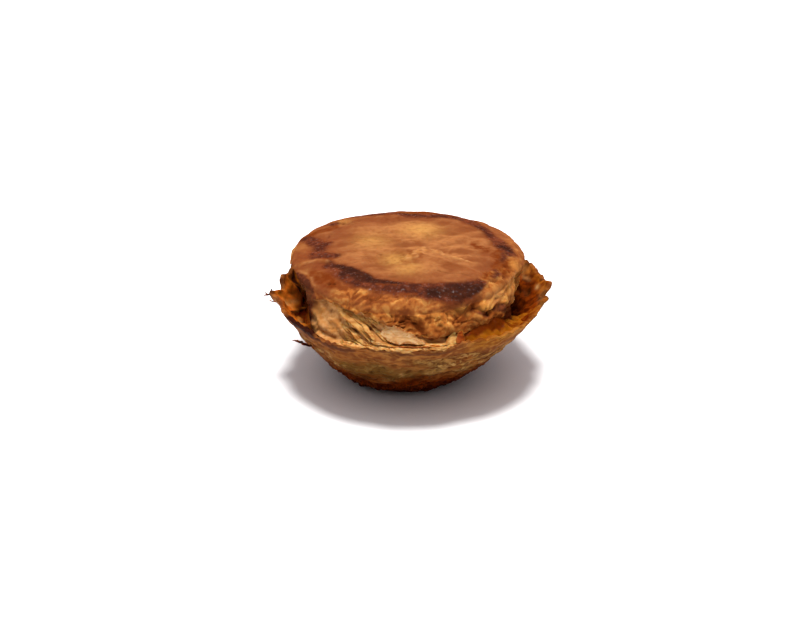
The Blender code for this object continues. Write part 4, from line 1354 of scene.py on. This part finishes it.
class Finish:
    """A material that is built up node by node."""

    COLOUR_A, COLOUR_B, COLOUR_RESULT = 6, 7, 2  # the colour sockets of a Mix node

    def __init__(self, name):
        self.material = bpy.data.materials.new(name)
        self.material.use_nodes = True
        self.tree = self.material.node_tree
        self.shader = self.tree.nodes["Principled BSDF"]

    def add(self, kind, settings, inputs, output=0):
        """Adds a node: its settings are set first, and then its sockets' values or links."""
        node = self.tree.nodes.new(kind)
        for name, value in settings.items():
            if name == "stops":
                self.set_stops(node.color_ramp, value)
            else:
                setattr(node, name, value)
        for socket, value in inputs.items():
            self.feed(node.inputs[socket], value)
        return Socket(self, node.outputs[output])

    def feed(self, socket, value):
        if isinstance(value, Socket):
            self.tree.links.new(value.output, socket)
        elif isinstance(value, tuple) and len(value) == 3 and len(socket.default_value) == 4:
            socket.default_value = (*value, 1.0)
        else:
            socket.default_value = value

    @staticmethod
    def set_stops(ramp, stops):
        while len(ramp.elements) > 1:
            ramp.elements.remove(ramp.elements[-1])
        for i, (place, colour) in enumerate(stops):
            stop = ramp.elements[0] if i == 0 else ramp.elements.new(place)
            stop.position = place
            stop.color = (*colour, 1.0)

    def mask(self, name):
        """A mask that the mesh carries."""
        return self.add("ShaderNodeAttribute", {"attribute_name": name}, {}, "Fac")

    def noise(self, size, detail=3.0, stretch=(1.0, 1.0, 1.0), warp=0.0):
        """Cloudy noise from 0 to 1, with lumps of a size in metres."""
        place = self.add("ShaderNodeTexCoord", {}, {}, "Object")
        scale = tuple(1.0 / (size * s) for s in stretch)
        scaled = self.add("ShaderNodeVectorMath", {"operation": "MULTIPLY"}, {0: place, 1: scale})
        return self.add("ShaderNodeTexNoise", {}, {"Vector": scaled, "Scale": 1.0, "Detail": detail, "Distortion": warp})

    def span(self, value, low, high, start=0.0, end=1.0):
        """A value eased from start at low to end at high."""
        inputs = {"Value": value, "From Min": low, "From Max": high, "To Min": start, "To Max": end}
        return self.add("ShaderNodeMapRange", {"interpolation_type": "SMOOTHSTEP"}, inputs)

    def mix(self, share, first, second, blend="MIX"):
        """One colour over another."""
        inputs = {0: share, self.COLOUR_A: first, self.COLOUR_B: second}
        return self.add("ShaderNodeMix", {"data_type": "RGBA", "blend_type": blend}, inputs, self.COLOUR_RESULT)

    def bump(self, height, distance, strength=1.0):
        """A normal that follows a height, in metres."""
        return self.add("ShaderNodeBump", {}, {"Height": height, "Distance": distance, "Strength": strength})

    def deepen(self, weight):
        """Lets light sink into the surface and spread there."""
        self.surface(subsurface_weight=weight, subsurface_radius=LIGHT_REACH, subsurface_scale=LIGHT_SCALE)

    def surface(self, **sockets):
        for name, value in sockets.items():
            self.feed(self.shader.inputs[name.replace("_", " ").title().replace("Ior", "IOR")], value)


def srgb(red, green, blue):
    """A colour as a screen shows it, 0 to 255, in the linear values that a shader takes."""
    parts = [v / 255.0 for v in (red, green, blue)]
    return tuple(v / 12.92 if v <= 0.04045 else ((v + 0.055) / 1.055) ** 2.4 for v in parts)


def lid_finish():
    """Egg-glazed golden crust, burnt at the ring, with cream layers where it is torn."""
    finish = Finish("lid_crust")
    cloud = finish.noise(0.0070, 4.0, (1.2, 1.2, 1.0), 0.5)
    streak = finish.noise(0.0024, 5.0, (1.1, 1.1, 1.0), 0.9)
    blotch = finish.noise(0.0040, 3.0)
    fine = finish.noise(0.0014, 5.0)
    # The tone follows fold, so the folds carry painted shade.
    tone = finish.span(cloud * 0.45 + finish.mask("fold") * 0.25 + streak * 0.30, 0.36, 0.62)
    gold = finish.mix(tone, (0.148, 0.044, 0.013), (0.262, 0.098, 0.031))
    gold = finish.mix(finish.mask("pale"), gold, (0.440, 0.220, 0.056))
    gold = finish.mix(finish.span(fine, 0.4, 0.75, 0.0, 0.4), gold, (0.150, 0.043, 0.012))
    gold = finish.mix(finish.mask("browned") * finish.span(blotch, 0.3, 0.6, 0.55, 1.0), gold, (0.136, 0.034, 0.011))
    speck = finish.noise(0.0007, 4.0)
    # Painted highlight on the puffs and painted shade between them, over random tone.
    puff_shading_and_tone = finish.mask("puff_light_and_shade") * 0.45 + fine * 0.30 + speck * 0.25
    crust = finish.mix(finish.span(puff_shading_and_tone, 0.34, 0.54), (0.150, 0.036, 0.007), (0.310, 0.100, 0.019))
    crust = finish.mix(finish.span(puff_shading_and_tone, 0.54, 0.70), crust, (0.460, 0.205, 0.048))
    crust = finish.mix(finish.mask("pale"), crust, (0.430, 0.200, 0.042))
    colour = finish.mix(finish.mask("crust"), gold, crust)
    toast = finish.mask("toast") * finish.span(streak * 0.6 + fine * 0.4, 0.38, 0.58, 0.55, 0.95)
    colour = finish.mix(toast, colour, (0.105, 0.019, 0.003))
    char = finish.mix(finish.span(blotch * 0.5 + fine * 0.5, 0.40, 0.64), (0.044, 0.011, 0.006), (0.112, 0.027, 0.011))
    char = finish.mix(finish.mask("core") * 0.75, char, (0.016, 0.006, 0.004))
    colour = finish.mix(finish.mask("scorch"), colour, char)
    cream = finish.mix(finish.span(fine * 0.5 + blotch * 0.5, 0.35, 0.6), (0.460, 0.230, 0.084), (0.340, 0.138, 0.035))
    colour = finish.mix(finish.mask("cream"), colour, cream)
    # Painted shade in the hollows: the colour darkens towards shaded where the hollow mask is.
    shaded = finish.mix(finish.mask("cream"), (0.060, 0.011, 0.002), (0.255, 0.092, 0.021))
    colour = finish.mix(finish.mask("hollow") * 0.85, colour, shaded)
    relief = finish.bump(finish.noise(0.0006, 4.0), 0.00012, 0.5)
    rough = 0.48 + 0.15 * finish.mask("cream") + 0.15 * (fine - 0.5)
    sparkle = finish.mask("glint") * finish.span(finish.noise(0.0009, 2.0), 0.55, 0.68)
    finish.surface(base_color=colour, roughness=rough, normal=relief, specular_ior_level=LID_SHEEN,
                   coat_weight=sparkle * 0.32, coat_roughness=0.30)
    finish.deepen(CRUST_DEPTH)
    return finish.material


def case_finish():
    """Baked pastry: tan round the rim, mottled below, orange-brown and crumbly near the base, where painted shade
    darkens it further.
    """
    finish = Finish("case_crust")
    cloud = finish.noise(0.008, 4.0, (1.0, 1.0, 0.5))
    streak = finish.noise(0.0030, 5.0, (1.5, 1.5, 0.55), 1.2)
    fine = finish.noise(0.0018, 5.0)
    grain = finish.span(streak * 0.6 + fine * 0.4, 0.40, 0.58)
    brown = finish.mix(grain, (0.180, 0.058, 0.012), (0.068, 0.017, 0.0028))
    olive = finish.mix(grain, (0.275, 0.136, 0.036), (0.048, 0.015, 0.0025))
    share = finish.mask("olive") * finish.span(cloud, 0.34, 0.56)
    colour = finish.mix(share, brown, olive)
    # Painted shade on the middle of the front.
    colour = finish.mix(finish.mask("dim") * finish.span(cloud, 0.30, 0.55, 0.35, 0.9), colour, (0.095, 0.042, 0.008))
    colour = finish.mix(finish.mask("flaky") * finish.span(fine, 0.46, 0.62, 0.0, 0.8), colour, (0.370, 0.200, 0.062))
    band = finish.mix(grain, (0.225, 0.078, 0.018), (0.125, 0.034, 0.008))
    colour = finish.mix(finish.mask("band") * 0.8, colour, band)
    glazed = finish.mix(grain, (0.260, 0.098, 0.012), (0.160, 0.046, 0.004))
    colour = finish.mix(finish.mask("glazed") * 0.85, colour, glazed)
    # The base: browner baked pastry, darkened further as painted shade under the bowl.
    base = finish.mix(grain, (0.105, 0.016, 0.0003), (0.036, 0.0036, 0.0001))
    colour = finish.mix(finish.mask("low"), colour, base)
    # A burnt mark and painted shadow under the rim's flakes.
    colour = finish.mix(finish.mask("line") * 0.8, colour, (0.060, 0.018, 0.008))
    lining = finish.mix(finish.span(cloud * 0.5 + fine * 0.5, 0.40, 0.60), (0.235, 0.062, 0.004), (0.100, 0.012, 0.0005))
    red = finish.mix(finish.span(fine, 0.40, 0.60), (0.145, 0.021, 0.0008), (0.055, 0.006, 0.0002))
    lining = finish.mix(finish.mask("red") * 0.95, lining, red)
    # The left pocket's orange, lightened as painted light in its shade.
    lining = finish.mix(finish.mask("amber") * finish.span(fine, 0.3, 0.6), lining, (0.400, 0.088, 0.007))
    # Painted light: a bright orange under the arch, in a shaded gap.
    lining = finish.mix(finish.mask("deep"), lining, (0.640, 0.175, 0.018))
    # Painted light in pale spots.
    lining = finish.mix(finish.mask("pale"), lining, (0.460, 0.230, 0.075))
    colour = finish.mix(finish.mask("inside"), colour, lining)
    colour = finish.mix(finish.mask("char"), colour, (0.022, 0.0045, 0.002))
    # Painted shade in the pits.
    colour = finish.mix(finish.mask("hollow") * 0.8, colour, (0.040, 0.010, 0.002))
    relief = finish.bump(finish.noise(0.0006, 4.0), 0.00012, 0.6)
    finish.surface(base_color=colour, roughness=0.58 + 0.2 * (fine - 0.5), normal=relief,
                   specular_ior_level=CASE_SHEEN)
    finish.deepen(CRUST_DEPTH)
    return finish.material


def torn_finish(name, light, dark):
    """Thin torn layers of pastry, baked only where they stand proud."""
    finish = Finish(name)
    streaks = finish.noise(0.0022, 4.0, (1.0, 1.0, 0.35), 0.4)
    fine = finish.noise(0.0007, 3.0)
    colour = finish.mix(finish.span(streaks, 0.35, 0.62), light, dark)
    colour = finish.mix(finish.mask("edge") * finish.span(fine, 0.3, 0.6), colour, (0.25, 0.075, 0.014))
    relief = finish.bump(fine, 0.0001, 0.6)
    finish.surface(base_color=colour, roughness=0.55, normal=relief, specular_ior_level=TORN_SHEEN)
    finish.deepen(TORN_DEPTH)
    return finish.material


def glaze_finish():
    """Caramel, dark red-brown where it is thick and orange where it is thin."""
    finish = Finish("caramel_glaze")
    fine = finish.noise(0.0016, 4.0)
    share = finish.span(finish.mask("shade") * 0.65 + fine * 0.35, 0.34, 0.66)
    colour = finish.mix(share, (0.205, 0.058, 0.0022), (0.085, 0.013, 0.0004))
    relief = finish.bump(finish.noise(0.0009, 3.0), 0.00015, 0.5)
    finish.surface(base_color=colour, roughness=0.42, normal=relief, specular_ior_level=GLAZE_SHEEN)
    finish.deepen(GLAZE_DEPTH)
    return finish.material


def dress(piece, material, slot, *nodes):
    """Gives a piece its finish, puts it on the root and hides any solids it stands in for; slot is not used."""
    piece.data.materials.append(material)
    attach(piece, "root")
    if nodes:
        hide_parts(*nodes)


def make_floor():
    """A plain pale floor."""
    half = 3.0
    mesh = bpy.data.meshes.new("floor")
    mesh.from_pydata([(-half, -half, 0), (half, -half, 0), (half, half, 0), (-half, half, 0)], [], [(0, 1, 2, 3)])
    finish = Finish("floor")
    finish.surface(base_color=(0.85, 0.85, 0.85), roughness=0.9)
    mesh.materials.append(finish.material)
    floor = bpy.data.objects.new("floor", mesh)
    bpy.context.scene.collection.objects.link(floor)


def make_camera():
    """The camera, as far off and as high as the photographer's."""
    camera = bpy.data.cameras.new("camera")
    camera.sensor_width = CAMERA_SENSOR
    camera.lens = CAMERA_LENS
    camera.clip_start = 0.01
    holder = bpy.data.objects.new("camera", camera)
    bpy.context.scene.collection.objects.link(holder)
    rise = math.radians(CAMERA_ELEVATION)
    back = Vector((0.0, -math.cos(rise), math.sin(rise)))
    holder.location = CAMERA_TARGET + CAMERA_DISTANCE * back
    holder.rotation_mode = "QUATERNION"
    holder.rotation_quaternion = (-back).to_track_quat("-Z", "Y")
    bpy.context.scene.camera = holder


def make_lights():
    """Soft studio light: a broad lamp straight overhead, and a glow from all round that fades to the horizon."""
    lamp = bpy.data.lights.new("overhead_lamp", "SUN")
    lamp.energy = LAMP_STRENGTH
    lamp.angle = math.radians(LAMP_WIDTH)
    holder = bpy.data.objects.new("overhead_lamp", lamp)
    bpy.context.scene.collection.objects.link(holder)
    world = bpy.data.worlds.new("glow")
    world.use_nodes = True
    tree = world.node_tree
    place = tree.nodes.new("ShaderNodeTexCoord")
    split = tree.nodes.new("ShaderNodeSeparateXYZ")
    ramp = tree.nodes.new("ShaderNodeValToRGB")
    Finish.set_stops(ramp.color_ramp, GLOW)
    tree.links.new(place.outputs["Generated"], split.inputs[0])
    tree.links.new(split.outputs["Z"], ramp.inputs[0])
    tree.links.new(ramp.outputs["Color"], tree.nodes["Background"].inputs["Color"])
    bpy.context.scene.world = world
    bpy.context.scene.view_settings.view_transform = "Standard"


make_camera()
make_lights()
make_floor()
dress(make_lid(), lid_finish(), "lid_pastry", "pastry_lid")
dress(make_case(), case_finish(), "case_pastry", "pastry_case")
strands = torn_finish("torn_strands", (0.480, 0.250, 0.072), (0.300, 0.120, 0.022))
cream = torn_finish("cream_flakes", (0.500, 0.300, 0.135), (0.390, 0.200, 0.070))
amber = torn_finish("amber_flakes", (0.520, 0.280, 0.095), (0.360, 0.145, 0.032))
pale = torn_finish("pale_layers", (0.320, 0.165, 0.055), (0.225, 0.095, 0.028))
golden = torn_finish("golden_flakes", (0.510, 0.265, 0.088), (0.350, 0.140, 0.030))
# Dark red-brown for the curled flap's inner side: painted shade.
reddish = torn_finish("flap_shade_flakes", (0.255, 0.052, 0.004), (0.130, 0.018, 0.0010))
dress(make_strips("torn_strands", CREAM_STRANDS, STRAND_THICKNESS, 101), strands, "lid_pastry")
dress(make_strips("loose_strands", loose_strands(LOOSE_STRANDS, 111), STRAND_THICKNESS, 111, 16, 5), strands, "lid_pastry")
dress(make_strips("cream_flake", CREAM_FLAKE, FLAKE_THICKNESS, 121, 80, 31, True), cream, "lid_pastry")
dress(make_strips("rim_flakes", RIM_FLAKES, STRAND_THICKNESS, 131, 90, 11), amber, "lid_pastry")
dress(make_strips("rim_shreds", rim_shreds(RIM_SHREDS, 191), STRAND_THICKNESS, 191, 24, 7), golden, "lid_pastry")
dress(make_strips("cream_flap", CREAM_FLAP, FLAKE_THICKNESS, 141, 30, 15, True), strands, "lid_pastry")
dress(make_strips("flap_shade_side", FLAP_SHADE_SIDE, FLAKE_THICKNESS, 151, 30, 15, True), reddish, "lid_pastry")
dress(make_strips("left_layers", LEFT_LAYERS, FLAKE_THICKNESS, 161, 40, 11), pale, "lid_pastry")
dress(make_crumbs("crumbs", CRUMBS, 181), cream, "lid_pastry")
burnt = torn_finish("burnt_shreds", (0.060, 0.028, 0.016), (0.014, 0.005, 0.003))
dress(make_shreds("burnt_shreds", SHREDS), burnt, "case_pastry")
dress(make_glaze(), glaze_finish(), "case_pastry")
